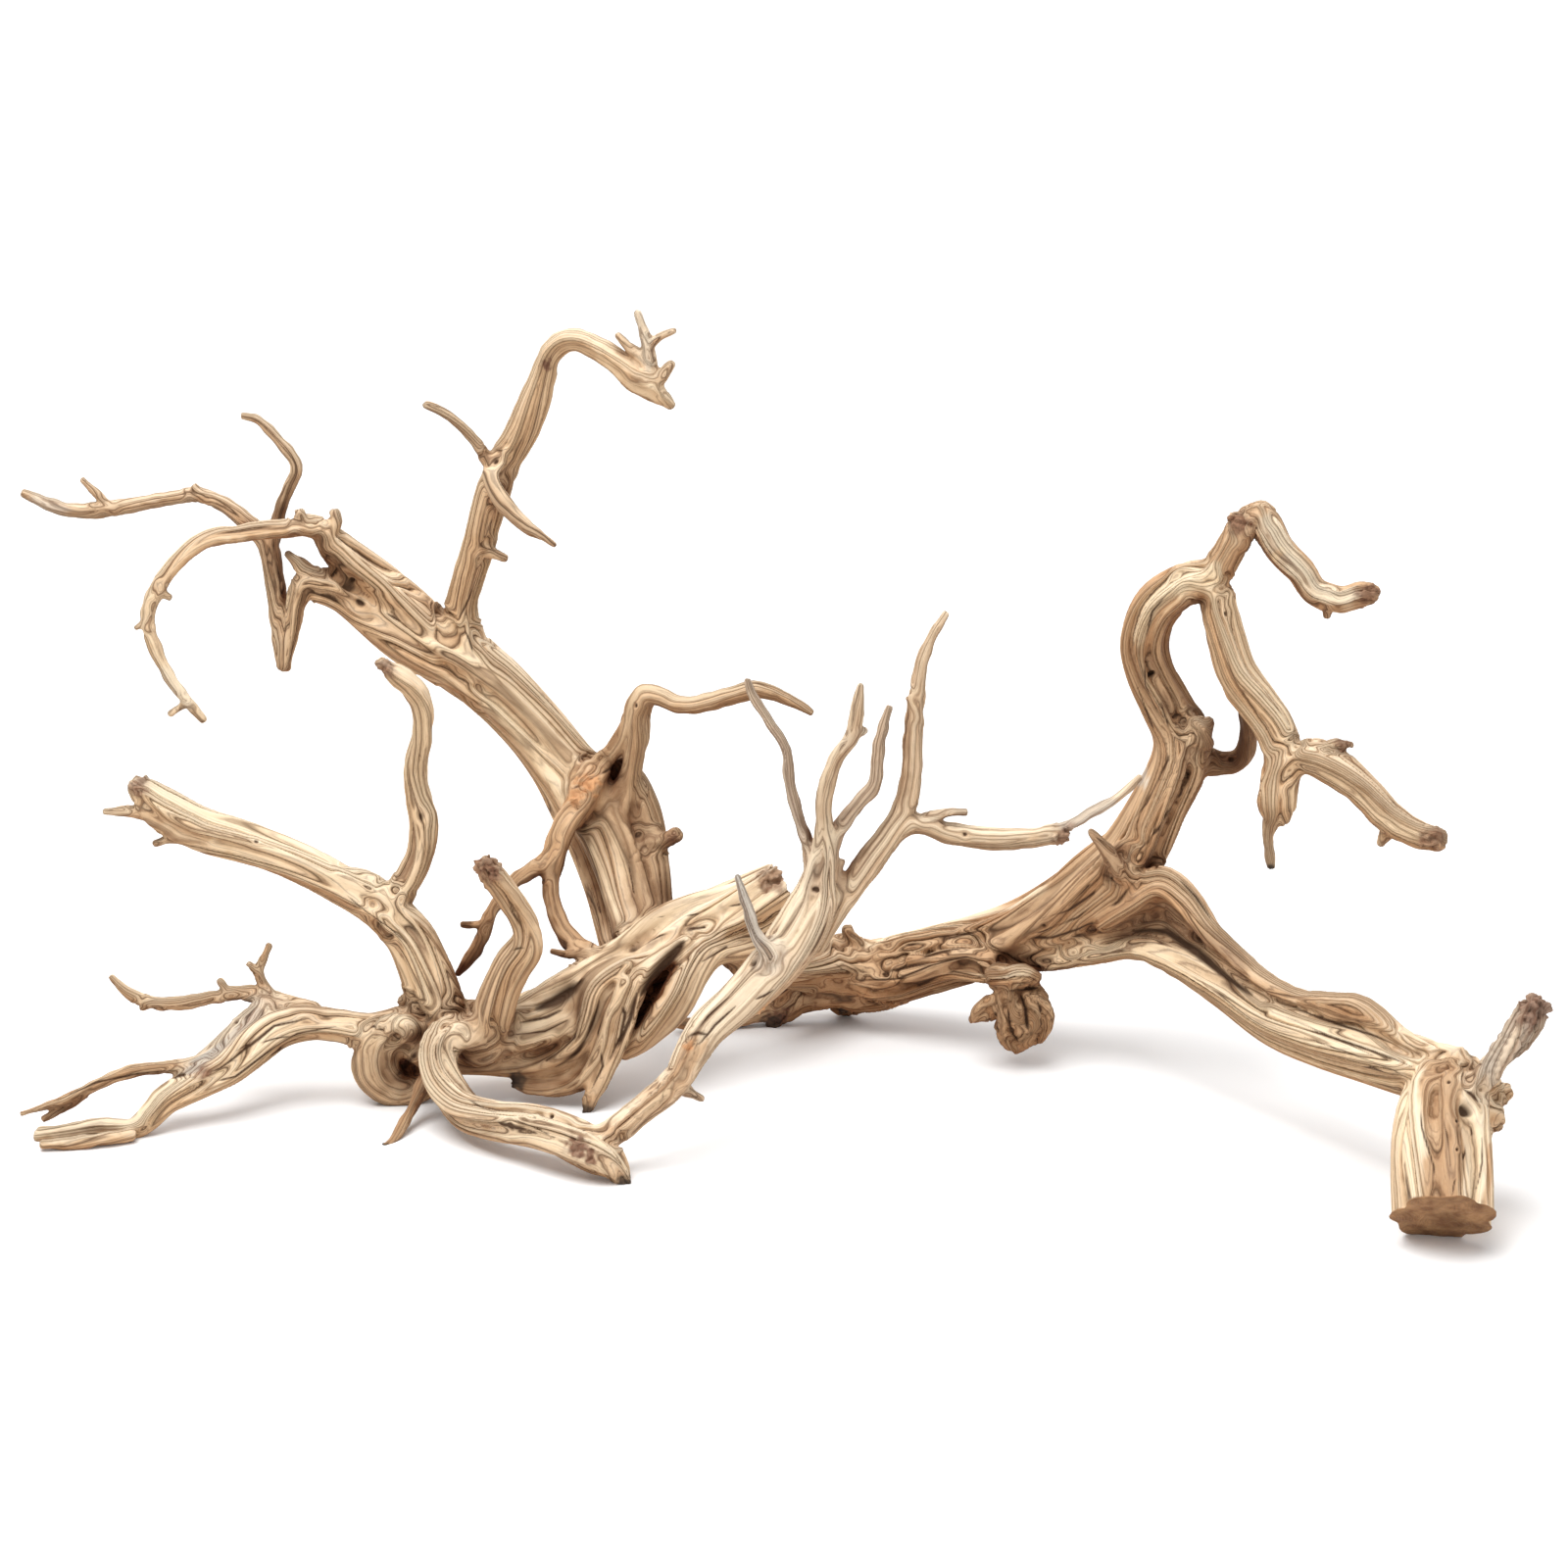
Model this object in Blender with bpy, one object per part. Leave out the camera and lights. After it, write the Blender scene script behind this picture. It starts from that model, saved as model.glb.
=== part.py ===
"""A weathered piece of desert wood, bare of bark, that lies on a surface with its branches spread.

The wood is one grown body: a low fluted trunk in the middle, a tall limb rising behind it to
the left, a serpent-like limb with a slanting branch in front, a broken branch and fingers on
the left, and a long limb on the right that ends in a sawn block. Units here are millimetres,
with +X to the right, +Y to the back and +Z up. The finished mesh is in metres.
"""

from math import cos, pi, radians, sin
from typing import NamedTuple

import bmesh
import bpy
import numpy as np

# Driving sizes, in millimetres
OVERALL_LENGTH = 900.0
SKIN_GRID = 2.1
SHORTEST_RING_STEP = 2.5
THINNEST_WOOD = 4.6
FOOT_TRIM = 1.2
METRE = 0.001

# Shares and counts
RING_STEP_SHARE = 0.16
RING_SIDES = 40
TIP_LENGTH_SHARE = 0.18
TIP_WIDTH_SHARE = 0.6
RIDGE_LIFT = 0.4
VALLEY_DEPTH = 2.6
VALLEY_SHARPNESS = 1.0
VALLEY_LEAST = 0.45
PHASE_STEP = 1.7
FACE_TARGET = 11300

# The front view in which every route below was read by eye
VIEW_DISTANCE = 2400.0
VIEW_TILT = radians(19.0)
VIEW_CENTRE = 800.0
VIEW_SCALE = 0.556
VIEW_AIM_HEIGHT = 212.0
DEPTH_RATIO = 0.84

WOOD_COLOUR = (0.56, 0.38, 0.23, 1.0)
WOOD_ROUGHNESS = 0.78


class Station(NamedTuple):
    """A place on a limb: picture column and row, depth behind the middle plane, and width."""

    column: float
    row: float
    depth: float
    width: float


class Limb(NamedTuple):
    """A limb's stations from its root to its tip, and how its surface is fluted.

    flutes is the number of ridges round it, groove their share of the radius, twist the turns
    of the ridges along its length, and flat the ratio of its height to its width.
    """

    stations: list
    flutes: int = 4
    groove: float = 0.10
    twist: float = 0.15
    flat: float = 1.0


LIMBS = {
    # The tall limb at the back left
    "rear_trunk": Limb([
        Station(672, 1018, 84, 46), Station(657, 975, 112, 50), Station(645, 930, 140, 50),
        Station(635, 888, 158, 52), Station(620, 848, 172, 53), Station(598, 812, 184, 50),
        Station(574, 779, 193, 42), Station(543, 740, 200, 39), Station(500, 696, 205, 40),
        Station(460, 668, 208, 42), Station(425, 645, 208, 37), Station(398, 622, 207, 31),
    ], flutes=7, groove=0.13, twist=0.12),
    "rear_trunk_dark_side": Limb([
        Station(664, 985, 112, 22), Station(668, 940, 134, 24), Station(667, 890, 150, 26),
        Station(662, 845, 162, 24), Station(650, 805, 170, 20), Station(632, 778, 180, 18),
    ], flutes=3, groove=0.15, twist=0.1),
    "rear_trunk_stub": Limb([
        Station(650, 868, 156, 14), Station(668, 861, 150, 9), Station(683, 853, 147, 6),
    ], flutes=3),
    "arch_branch": Limb([
        Station(455, 662, 208, 32), Station(425, 632, 206, 30), Station(388, 598, 203, 27),
        Station(357, 572, 198, 24), Station(338, 553, 194, 19), Station(328, 541, 190, 15),
        Station(314, 537, 187, 14), Station(295, 539, 182, 12), Station(270, 541, 177, 12),
        Station(243, 545, 171, 12), Station(215, 549, 165, 12), Station(192, 562, 160, 12),
        Station(172, 583, 155, 11), Station(157, 608, 150, 11), Station(151, 632, 146, 9),
        Station(158, 660, 142, 9), Station(173, 690, 139, 8), Station(190, 714, 137, 7),
        Station(208, 735, 136, 5),
    ], flutes=4, groove=0.12),
    "arch_knob_right": Limb([
        Station(332, 546, 192, 14), Station(341, 533, 192, 10), Station(341, 521, 192, 7),
    ], flutes=3),
    "arch_knob_left": Limb([
        Station(307, 538, 185, 11), Station(306, 521, 184, 7),
    ], flutes=3),
    "arch_thorn_outer": Limb([
        Station(154, 632, 146, 6), Station(138, 641, 145, 4),
    ], flutes=2),
    "arch_thorn_inner": Limb([
        Station(158, 600, 151, 7), Station(174, 611, 150, 4),
    ], flutes=2),
    "arch_thorn_tip": Limb([
        Station(193, 715, 137, 6), Station(173, 729, 136, 4),
    ], flutes=2),
    "hump_branch": Limb([
        Station(458, 678, 206, 34), Station(420, 656, 204, 34), Station(385, 634, 200, 29),
        Station(352, 611, 196, 22), Station(328, 598, 192, 23), Station(310, 598, 189, 18),
        Station(302, 616, 187, 13), Station(298, 640, 186, 11), Station(293, 662, 186, 10),
        Station(289, 681, 187, 9),
    ], flutes=5, groove=0.12),
    "hump_spike": Limb([
        Station(320, 591, 190, 13), Station(304, 575, 189, 9), Station(293, 564, 188, 5),
    ], flutes=3),
    "hairpin_stem": Limb([
        Station(290, 682, 187, 9), Station(287, 656, 190, 12), Station(284, 620, 196, 14),
        Station(279, 585, 201, 14), Station(273, 556, 205, 14), Station(250, 531, 208, 12),
        Station(225, 513, 210, 10), Station(203, 505, 212, 10), Station(176, 508, 214, 9),
        Station(150, 512, 216, 9), Station(125, 517, 217, 10), Station(100, 520, 218, 10),
        Station(75, 521, 218, 9), Station(50, 514, 218, 8), Station(23, 503, 218, 5),
    ], flutes=4, groove=0.12),
    "hairpin_knob": Limb([
        Station(203, 506, 212, 9), Station(198, 495, 212, 5),
    ], flutes=2),
    "hairpin_twig": Limb([
        Station(112, 519, 218, 7), Station(101, 506, 218, 6), Station(84, 489, 220, 4),
    ], flutes=2),
    "hairpin_right_arm": Limb([
        Station(276, 560, 204, 11), Station(283, 530, 203, 9), Station(294, 497, 202, 8),
        Station(302, 475, 201, 9), Station(285, 450, 203, 7), Station(264, 429, 206, 6),
        Station(247, 424, 207, 4),
    ], flutes=3),
    "upright_branch": Limb([
        Station(478, 690, 206, 36), Station(470, 650, 205, 28), Station(470, 618, 203, 20),
        Station(477, 590, 200, 20), Station(487, 558, 196, 20), Station(494, 530, 192, 20),
        Station(503, 500, 188, 21), Station(516, 468, 184, 19), Station(532, 440, 180, 20),
        Station(545, 410, 176, 20), Station(555, 382, 172, 16), Station(561, 363, 168, 14),
        Station(573, 350, 164, 14), Station(590, 347, 160, 13), Station(612, 357, 154, 14),
        Station(632, 371, 149, 15), Station(650, 386, 145, 17), Station(668, 399, 142, 13),
        Station(687, 415, 140, 5),
    ], flutes=4, groove=0.16, twist=0.25),
    "upright_end_fork": Limb([
        Station(655, 387, 145, 13), Station(674, 385, 142, 11), Station(686, 370, 141, 5),
    ], flutes=3),
    "upright_antler_tall": Limb([
        Station(661, 385, 145, 11), Station(663, 363, 145, 9), Station(657, 339, 145, 7),
        Station(650, 318, 145, 4),
    ], flutes=3),
    "upright_antler_left": Limb([
        Station(661, 372, 146, 9), Station(645, 357, 146, 7), Station(630, 341, 147, 4),
    ], flutes=2),
    "upright_antler_right": Limb([
        Station(660, 357, 145, 7), Station(673, 344, 143, 6), Station(689, 337, 142, 4),
    ], flutes=2),
    "upright_left_twig": Limb([
        Station(514, 484, 184, 12), Station(497, 468, 181, 9), Station(485, 450, 179, 7),
        Station(467, 431, 176, 6), Station(450, 419, 174, 6), Station(433, 412, 172, 4),
    ], flutes=2),
    "upright_blade": Limb([
        Station(508, 468, 178, 12), Station(501, 486, 172, 13), Station(508, 506, 168, 14),
        Station(522, 524, 166, 13), Station(538, 538, 164, 11), Station(553, 547, 162, 8),
        Station(567, 557, 161, 4),
    ], flutes=3, flat=0.6),
    "upright_stub": Limb([
        Station(493, 560, 192, 10), Station(506, 566, 188, 7), Station(517, 570, 186, 4),
    ], flutes=2),
    # The dark fork that leaves the tall limb to the right
    "crotch_left_strand": Limb([
        Station(598, 806, 180, 26), Station(610, 784, 172, 15), Station(626, 766, 164, 11),
        Station(640, 744, 158, 12), Station(650, 722, 154, 12),
    ], flutes=3, groove=0.16),
    "right_twig_branch": Limb([
        Station(632, 820, 168, 26), Station(642, 797, 164, 16), Station(647, 775, 160, 13),
        Station(651, 750, 156, 15), Station(651, 724, 154, 16), Station(660, 709, 152, 15),
        Station(674, 711, 150, 13), Station(689, 718, 147, 12), Station(708, 719, 144, 12),
        Station(728, 715, 141, 12), Station(750, 708, 138, 12), Station(770, 703, 136, 12),
        Station(787, 706, 134, 9), Station(803, 713, 132, 8), Station(816, 720, 131, 7),
        Station(829, 728, 130, 4),
    ], flutes=4, groove=0.13),
    # The pale strand that hangs from the fork and joins the trunk again
    "pale_strand": Limb([
        Station(610, 790, 168, 22), Station(600, 806, 154, 21), Station(588, 827, 142, 18),
        Station(575, 846, 132, 16), Station(566, 870, 125, 16), Station(562, 898, 118, 13),
        Station(564, 922, 112, 12), Station(573, 946, 104, 12), Station(588, 965, 96, 14),
        Station(612, 980, 86, 14),
    ], flutes=4, groove=0.16),
    "pale_strand_left": Limb([
        Station(566, 873, 124, 13), Station(551, 884, 118, 11), Station(536, 892, 112, 10),
        Station(522, 902, 106, 9), Station(510, 918, 100, 8), Station(500, 933, 95, 8),
        Station(494, 951, 90, 9), Station(487, 966, 86, 9), Station(477, 980, 83, 8),
        Station(466, 995, 80, 4),
    ], flutes=3),
    "pale_strand_twig": Limb([
        Station(496, 942, 92, 5), Station(484, 944, 90, 4), Station(471, 943, 88, 4),
    ], flutes=2),
    "pointed_stub": Limb([
        Station(618, 976, 84, 10), Station(598, 972, 86, 9), Station(580, 974, 86, 7),
        Station(562, 970, 87, 4),
    ], flutes=2),
    # The low fluted trunk, a bundle of strands that part and leave deep hollows
    "trunk_core": Limb([
        Station(801, 908, 120, 40), Station(775, 921, 114, 40), Station(740, 938, 106, 40),
        Station(700, 954, 98, 36), Station(662, 975, 90, 34), Station(622, 1004, 78, 38),
        Station(588, 1036, 66, 42), Station(552, 1052, 58, 42), Station(515, 1056, 54, 42),
        Station(480, 1057, 52, 41), Station(445, 1054, 50, 40), Station(418, 1062, 48, 36),
    ], flutes=6, groove=0.15, twist=0.3),
    "trunk_top_ridge": Limb([
        Station(795, 897, 122, 20), Station(752, 915, 112, 21), Station(712, 926, 104, 21),
        Station(676, 940, 96, 20), Station(645, 962, 88, 19), Station(612, 982, 80, 18),
        Station(580, 1000, 70, 16), Station(552, 1016, 62, 14), Station(520, 1030, 58, 14),
    ], flutes=3, groove=0.15),
    "trunk_right_strand": Limb([
        Station(780, 955, 108, 26), Station(750, 962, 96, 26), Station(722, 970, 84, 24),
        Station(705, 990, 70, 24), Station(692, 1014, 60, 24), Station(672, 1040, 54, 22),
        Station(650, 1062, 50, 18), Station(634, 1076, 47, 10),
    ], flutes=3, groove=0.18),
    "trunk_under_strand": Limb([
        Station(735, 950, 108, 26), Station(748, 975, 102, 18), Station(762, 983, 104, 20),
        Station(785, 985, 126, 24), Station(812, 985, 152, 30), Station(845, 985, 178, 38),
        Station(880, 988, 188, 40),
    ], flutes=4, groove=0.15),
    "trunk_spike_strand": Limb([
        Station(700, 962, 78, 16), Station(676, 978, 66, 16), Station(655, 998, 56, 15),
        Station(643, 1024, 48, 14), Station(636, 1050, 42, 13), Station(624, 1078, 36, 13),
        Station(610, 1106, 30, 12), Station(602, 1124, 26, 9), Station(598, 1138, 24, 5),
    ], flutes=3, groove=0.18),
    "trunk_belly_strand": Limb([
        Station(668, 978, 76, 18), Station(634, 992, 62, 22), Station(610, 1010, 54, 24),
        Station(600, 1036, 48, 24), Station(590, 1060, 44, 22), Station(568, 1078, 44, 19),
        Station(538, 1087, 45, 16), Station(500, 1088, 46, 14), Station(462, 1086, 46, 14),
    ], flutes=4, groove=0.16),
    "trunk_hook": Limb([
        Station(640, 1002, 52, 14), Station(626, 1030, 44, 15), Station(616, 1058, 40, 15),
        Station(606, 1082, 37, 15), Station(590, 1102, 36, 15), Station(566, 1110, 38, 13),
        Station(544, 1110, 40, 12), Station(525, 1104, 42, 10),
    ], flutes=3, groove=0.2),
    "burl": Limb([
        Station(442, 1052, 48, 30), Station(412, 1049, 43, 24), Station(386, 1065, 40, 22),
        Station(378, 1087, 40, 22), Station(391, 1107, 42, 21), Station(416, 1112, 44, 20),
        Station(442, 1100, 48, 20),
    ], flutes=3, groove=0.14),
    "burl_heart": Limb([
        Station(432, 1058, 46, 18), Station(410, 1054, 38, 15), Station(400, 1064, 36, 11),
    ], flutes=3),
    "burl_ear": Limb([
        Station(436, 1034, 52, 20), Station(420, 1020, 50, 12), Station(408, 1020, 50, 6),
    ], flutes=2),
    # The left branch with its fingers on the floor
    "left_branch": Limb([
        Station(420, 1050, 46, 28), Station(377, 1053, 42, 23), Station(345, 1047, 40, 21),
        Station(313, 1044, 38, 23), Station(282, 1050, 33, 27), Station(256, 1067, 26, 29),
        Station(232, 1087, 16, 26), Station(203, 1104, 6, 21), Station(170, 1122, -6, 17),
        Station(146, 1145, -15, 14), Station(122, 1156, -20, 12), Station(80, 1158, -22, 11),
        Station(36, 1160, -24, 8),
    ], flutes=5, groove=0.14, twist=0.3),
    "left_branch_bare_strip": Limb([
        Station(274, 1028, 38, 16), Station(249, 1045, 30, 13), Station(226, 1068, 22, 13),
        Station(206, 1085, 14, 12), Station(192, 1093, 10, 9),
    ], flutes=2),
    "second_finger": Limb([
        Station(212, 1084, 12, 14), Station(178, 1088, 9, 11), Station(135, 1093, 4, 11),
        Station(100, 1106, -2, 11), Station(72, 1120, -7, 10), Station(45, 1129, -11, 7),
        Station(22, 1137, -15, 4),
    ], flutes=3, flat=0.7),
    "second_finger_fork": Limb([
        Station(86, 1116, -4, 8), Station(63, 1132, -8, 6), Station(43, 1142, -11, 4),
    ], flutes=2),
    "upper_finger": Limb([
        Station(318, 1036, 42, 18), Station(285, 1024, 46, 13), Station(262, 1016, 48, 11),
        Station(237, 1014, 50, 9), Station(214, 1020, 51, 9), Station(190, 1024, 53, 9),
        Station(160, 1024, 55, 8), Station(135, 1016, 57, 8), Station(122, 1006, 58, 6),
        Station(113, 996, 60, 4),
    ], flutes=3),
    "upper_finger_spur_left": Limb([
        Station(158, 1023, 55, 6), Station(144, 1029, 55, 4),
    ], flutes=2),
    "upper_finger_spur_top": Limb([
        Station(232, 1014, 50, 6), Station(224, 1000, 50, 4),
    ], flutes=2),
    "finger_twig": Limb([
        Station(279, 1022, 46, 9), Station(268, 1004, 50, 7), Station(264, 990, 51, 6),
        Station(270, 976, 52, 5), Station(275, 964, 53, 4),
    ], flutes=2),
    "finger_twig_fork": Limb([
        Station(264, 995, 51, 6), Station(253, 983, 51, 4),
    ], flutes=2),
    # The broken branch that rises to the left, and the branch that stands on it
    "broken_branch": Limb([
        Station(462, 1058, 52, 36), Station(445, 1022, 52, 34), Station(434, 990, 55, 32),
        Station(418, 955, 59, 30), Station(392, 929, 62, 27), Station(352, 906, 64, 24),
        Station(300, 880, 66, 24), Station(250, 861, 66, 25), Station(203, 846, 64, 26),
        Station(166, 824, 62, 26), Station(146, 806, 60, 19), Station(136, 799, 60, 12),
    ], flutes=5, groove=0.14, twist=0.2),
    "broken_branch_lower_splinter": Limb([
        Station(190, 842, 60, 14), Station(150, 830, 58, 9), Station(124, 827, 57, 7),
        Station(106, 828, 56, 4),
    ], flutes=2),
    "broken_branch_under_splinter": Limb([
        Station(200, 854, 60, 12), Station(175, 855, 58, 8), Station(157, 861, 57, 5),
    ], flutes=2),
    "broken_branch_sliver": Limb([
        Station(405, 918, 62, 14), Station(376, 895, 62, 7), Station(347, 888, 62, 4),
    ], flutes=2),
    "up_branch": Limb([
        Station(392, 932, 62, 24), Station(412, 903, 64, 18), Station(428, 872, 66, 16),
        Station(432, 838, 68, 17), Station(426, 808, 68, 15), Station(424, 783, 68, 15),
        Station(431, 750, 66, 14), Station(431, 720, 64, 14), Station(420, 700, 61, 14),
        Station(402, 686, 58, 12), Station(388, 674, 56, 6),
    ], flutes=4, groove=0.16, twist=0.3),
    # The stub that stands in front of the trunk
    "front_stub": Limb([
        Station(492, 1062, 34, 26), Station(502, 1034, 30, 25), Station(511, 1008, 30, 23),
        Station(523, 984, 30, 23), Station(537, 964, 29, 21), Station(536, 944, 28, 17),
        Station(525, 924, 26, 16), Station(512, 905, 24, 16), Station(500, 889, 22, 15),
        Station(493, 878, 21, 11),
    ], flutes=4, groove=0.12),
    # The serpent limb in front
    "serpent": Limb([
        Station(512, 1064, 44, 22), Station(492, 1058, 34, 24), Station(468, 1055, 24, 25),
        Station(451, 1066, 16, 24), Station(447, 1086, 8, 23), Station(455, 1110, -5, 24),
        Station(475, 1133, -26, 24), Station(508, 1144, -47, 24), Station(545, 1150, -62, 26),
        Station(580, 1163, -77, 27), Station(610, 1178, -88, 25), Station(628, 1192, -93, 17),
        Station(637, 1209, -94, 9),
    ], flutes=5, groove=0.15, twist=0.3),
    "serpent_knuckle": Limb([
        Station(468, 1050, 26, 20), Station(490, 1070, 30, 22), Station(504, 1062, 34, 18),
    ], flutes=3),
    "thin_prop": Limb([
        Station(437, 1100, 18, 13), Station(424, 1124, 6, 8), Station(411, 1148, -14, 7),
        Station(400, 1165, -28, 5), Station(392, 1171, -32, 4),
    ], flutes=2),
    # The slanting branch in front of the trunk and its crown of twigs
    "slanting_branch": Limb([
        Station(598, 1168, -80, 20), Station(622, 1158, -78, 16), Station(656, 1131, -70, 16),
        Station(688, 1104, -60, 17), Station(704, 1078, -53, 20), Station(722, 1050, -46, 24),
        Station(752, 1024, -36, 28), Station(786, 990, -22, 31), Station(814, 955, -10, 33),
        Station(832, 921, 0, 30), Station(838, 893, 2, 22), Station(842, 866, 2, 17),
        Station(841, 838, -2, 10), Station(841, 812, -8, 10), Station(853, 774, -16, 9),
        Station(869, 752, -20, 9), Station(875, 721, -24, 8), Station(878, 698, -26, 5),
    ], flutes=4, groove=0.14, twist=0.35),
    "slanting_stub": Limb([
        Station(692, 1106, -58, 12), Station(706, 1116, -58, 7), Station(717, 1122, -58, 5),
    ], flutes=2),
    "slanting_grey_twig": Limb([
        Station(786, 978, -30, 14), Station(771, 953, -28, 8), Station(762, 925, -25, 7),
        Station(752, 893, -22, 4),
    ], flutes=2),
    "crown_left_twig": Limb([
        Station(834, 898, 4, 14), Station(827, 868, 8, 9), Station(816, 839, 12, 7),
        Station(806, 800, 18, 7), Station(802, 765, 22, 6), Station(785, 737, 27, 6),
        Station(768, 710, 31, 6), Station(762, 693, 33, 4),
    ], flutes=2),
    "crown_middle_spur": Limb([
        Station(866, 755, -19, 6), Station(883, 744, -19, 4),
    ], flutes=2),
    "crown_right_twig": Limb([
        Station(838, 890, 4, 16), Station(851, 856, 8, 12), Station(865, 834, 10, 10),
        Station(880, 816, 12, 9), Station(893, 798, 14, 9), Station(896, 764, 17, 8),
        Station(901, 742, 19, 7), Station(907, 721, 21, 4),
    ], flutes=3),
    "crown_spike": Limb([
        Station(850, 900, 6, 10), Station(855, 888, 7, 6), Station(860, 878, 8, 4),
    ], flutes=2),
    "long_arm": Limb([
        Station(822, 962, -4, 26), Station(840, 940, 2, 22), Station(862, 914, 8, 18),
        Station(888, 878, 14, 19), Station(908, 851, 18, 17), Station(922, 826, 22, 15),
        Station(929, 796, 25, 13), Station(931, 764, 28, 12), Station(933, 730, 31, 11),
        Station(936, 704, 33, 9), Station(941, 674, 35, 8), Station(952, 647, 37, 6),
        Station(966, 625, 38, 4),
    ], flutes=4, groove=0.12),
    "long_arm_spur": Limb([
        Station(934, 722, 31, 9), Station(926, 712, 31, 5),
    ], flutes=2),
    "right_arm": Limb([
        Station(905, 862, 17, 14), Station(925, 842, 20, 16), Station(945, 842, 21, 15),
        Station(970, 850, 23, 16), Station(1014, 855, 26, 17), Station(1048, 854, 28, 15),
        Station(1070, 852, 28, 13), Station(1088, 853, 28, 7),
    ], flutes=3, groove=0.12, flat=0.8),
    "right_arm_thin_end": Limb([
        Station(1066, 848, 28, 9), Station(1090, 842, 30, 7), Station(1112, 829, 33, 7),
        Station(1135, 817, 36, 7), Station(1150, 806, 38, 6), Station(1164, 792, 40, 4),
    ], flutes=2),
    "right_arm_sliver": Limb([
        Station(945, 836, 22, 9), Station(966, 829, 22, 6), Station(986, 829, 22, 4),
    ], flutes=2),
    # The long limb on the right
    "right_root": Limb([
        Station(890, 995, 188, 36), Station(848, 1002, 190, 36), Station(805, 1018, 188, 24),
        Station(762, 1036, 182, 14), Station(724, 1046, 176, 10), Station(690, 1044, 170, 7),
    ], flutes=4, groove=0.16),
    "right_root_tip": Limb([
        Station(822, 1012, 186, 22), Station(802, 1034, 184, 14), Station(787, 1049, 183, 9),
    ], flutes=3, groove=0.2),
    "right_lump": Limb([
        Station(880, 1005, 192, 34), Station(862, 1022, 200, 22), Station(856, 1028, 204, 15),
    ], flutes=3),
    "right_nub": Limb([
        Station(872, 965, 184, 14), Station(864, 946, 180, 7),
    ], flutes=2),
    "right_body": Limb([
        Station(848, 995, 190, 40), Station(880, 996, 189, 43), Station(930, 986, 178, 44),
        Station(985, 972, 162, 43), Station(1040, 955, 146, 44), Station(1085, 930, 132, 46),
        Station(1125, 900, 120, 48), Station(1158, 868, 114, 42), Station(1184, 820, 114, 35),
        Station(1204, 778, 119, 35), Station(1204, 748, 123, 33), Station(1189, 718, 125, 31),
        Station(1172, 682, 125, 29), Station(1167, 651, 122, 29), Station(1180, 618, 116, 28),
        Station(1208, 597, 111, 26), Station(1234, 588, 107, 23), Station(1250, 570, 104, 20),
        Station(1262, 550, 102, 19), Station(1272, 533, 100, 17), Station(1286, 523, 98, 15),
        Station(1294, 537, 96, 19), Station(1306, 560, 92, 19), Station(1328, 583, 87, 18),
        Station(1342, 603, 83, 17), Station(1368, 612, 78, 17), Station(1392, 606, 74, 16),
        Station(1404, 607, 72, 12),
    ], flutes=7, groove=0.14, twist=0.5),
    "top_knob": Limb([
        Station(1272, 540, 100, 16), Station(1264, 531, 99, 13), Station(1256, 525, 99, 7),
    ], flutes=3, groove=0.2),
    "top_point": Limb([
        Station(1286, 528, 97, 13), Station(1293, 514, 96, 7),
    ], flutes=2),
    "top_end_nub": Limb([
        Station(1358, 612, 80, 10), Station(1354, 630, 79, 5),
    ], flutes=2),
    "neck_knot": Limb([
        Station(1222, 752, 112, 22), Station(1228, 738, 104, 14),
    ], flutes=3),
    "horn": Limb([
        Station(1160, 905, 96, 16), Station(1143, 889, 90, 13), Station(1130, 869, 86, 9),
        Station(1119, 855, 84, 7), Station(1112, 848, 83, 5),
    ], flutes=3, groove=0.15),
    "down_branch": Limb([
        Station(1222, 590, 108, 22), Station(1240, 605, 103, 21), Station(1246, 628, 99, 21),
        Station(1253, 655, 95, 22), Station(1263, 688, 91, 24), Station(1284, 718, 85, 24),
        Station(1301, 744, 79, 24), Station(1308, 771, 75, 24), Station(1306, 800, 72, 26),
        Station(1303, 822, 70, 26), Station(1303, 836, 69, 18),
    ], flutes=4, groove=0.15, twist=0.2),
    "down_branch_spike": Limb([
        Station(1300, 830, 69, 14), Station(1294, 852, 68, 8), Station(1297, 885, 68, 6),
    ], flutes=2),
    "side_arm": Limb([
        Station(1303, 790, 75, 22), Station(1331, 772, 66, 20), Station(1357, 780, 58, 22),
        Station(1389, 804, 48, 19), Station(1418, 834, 39, 19), Station(1445, 850, 33, 18),
        Station(1463, 855, 30, 17), Station(1472, 857, 28, 14),
    ], flutes=4, groove=0.14),
    "side_arm_spur": Limb([
        Station(1345, 772, 62, 10), Station(1360, 759, 61, 7), Station(1379, 761, 61, 5),
    ], flutes=2),
    "side_arm_nub": Limb([
        Station(1420, 842, 40, 11), Station(1408, 862, 39, 5),
    ], flutes=2),
    "back_loop": Limb([
        Station(1222, 778, 126, 20), Station(1248, 780, 131, 15), Station(1268, 774, 129, 13),
        Station(1274, 750, 122, 11), Station(1272, 728, 112, 11), Station(1266, 705, 98, 11),
    ], flutes=3, groove=0.15),
    "knob_branch": Limb([
        Station(935, 985, 160, 24), Station(975, 984, 144, 20), Station(1008, 990, 130, 19),
        Station(1030, 1000, 120, 20), Station(1040, 1018, 114, 26), Station(1042, 1040, 112, 30),
        Station(1036, 1058, 111, 26), Station(1032, 1068, 111, 16),
    ], flutes=5, groove=0.24, twist=0.1),
    "knob_fold_right": Limb([
        Station(1030, 1002, 116, 16), Station(1050, 1004, 112, 14), Station(1060, 1022, 110, 14),
        Station(1062, 1040, 110, 13), Station(1052, 1060, 110, 10),
    ], flutes=3, groove=0.2),
    "knob_fold_left": Limb([
        Station(1028, 1020, 112, 14), Station(1012, 1034, 110, 13), Station(1000, 1038, 110, 9),
        Station(992, 1041, 110, 5),
    ], flutes=2, groove=0.2),
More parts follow.
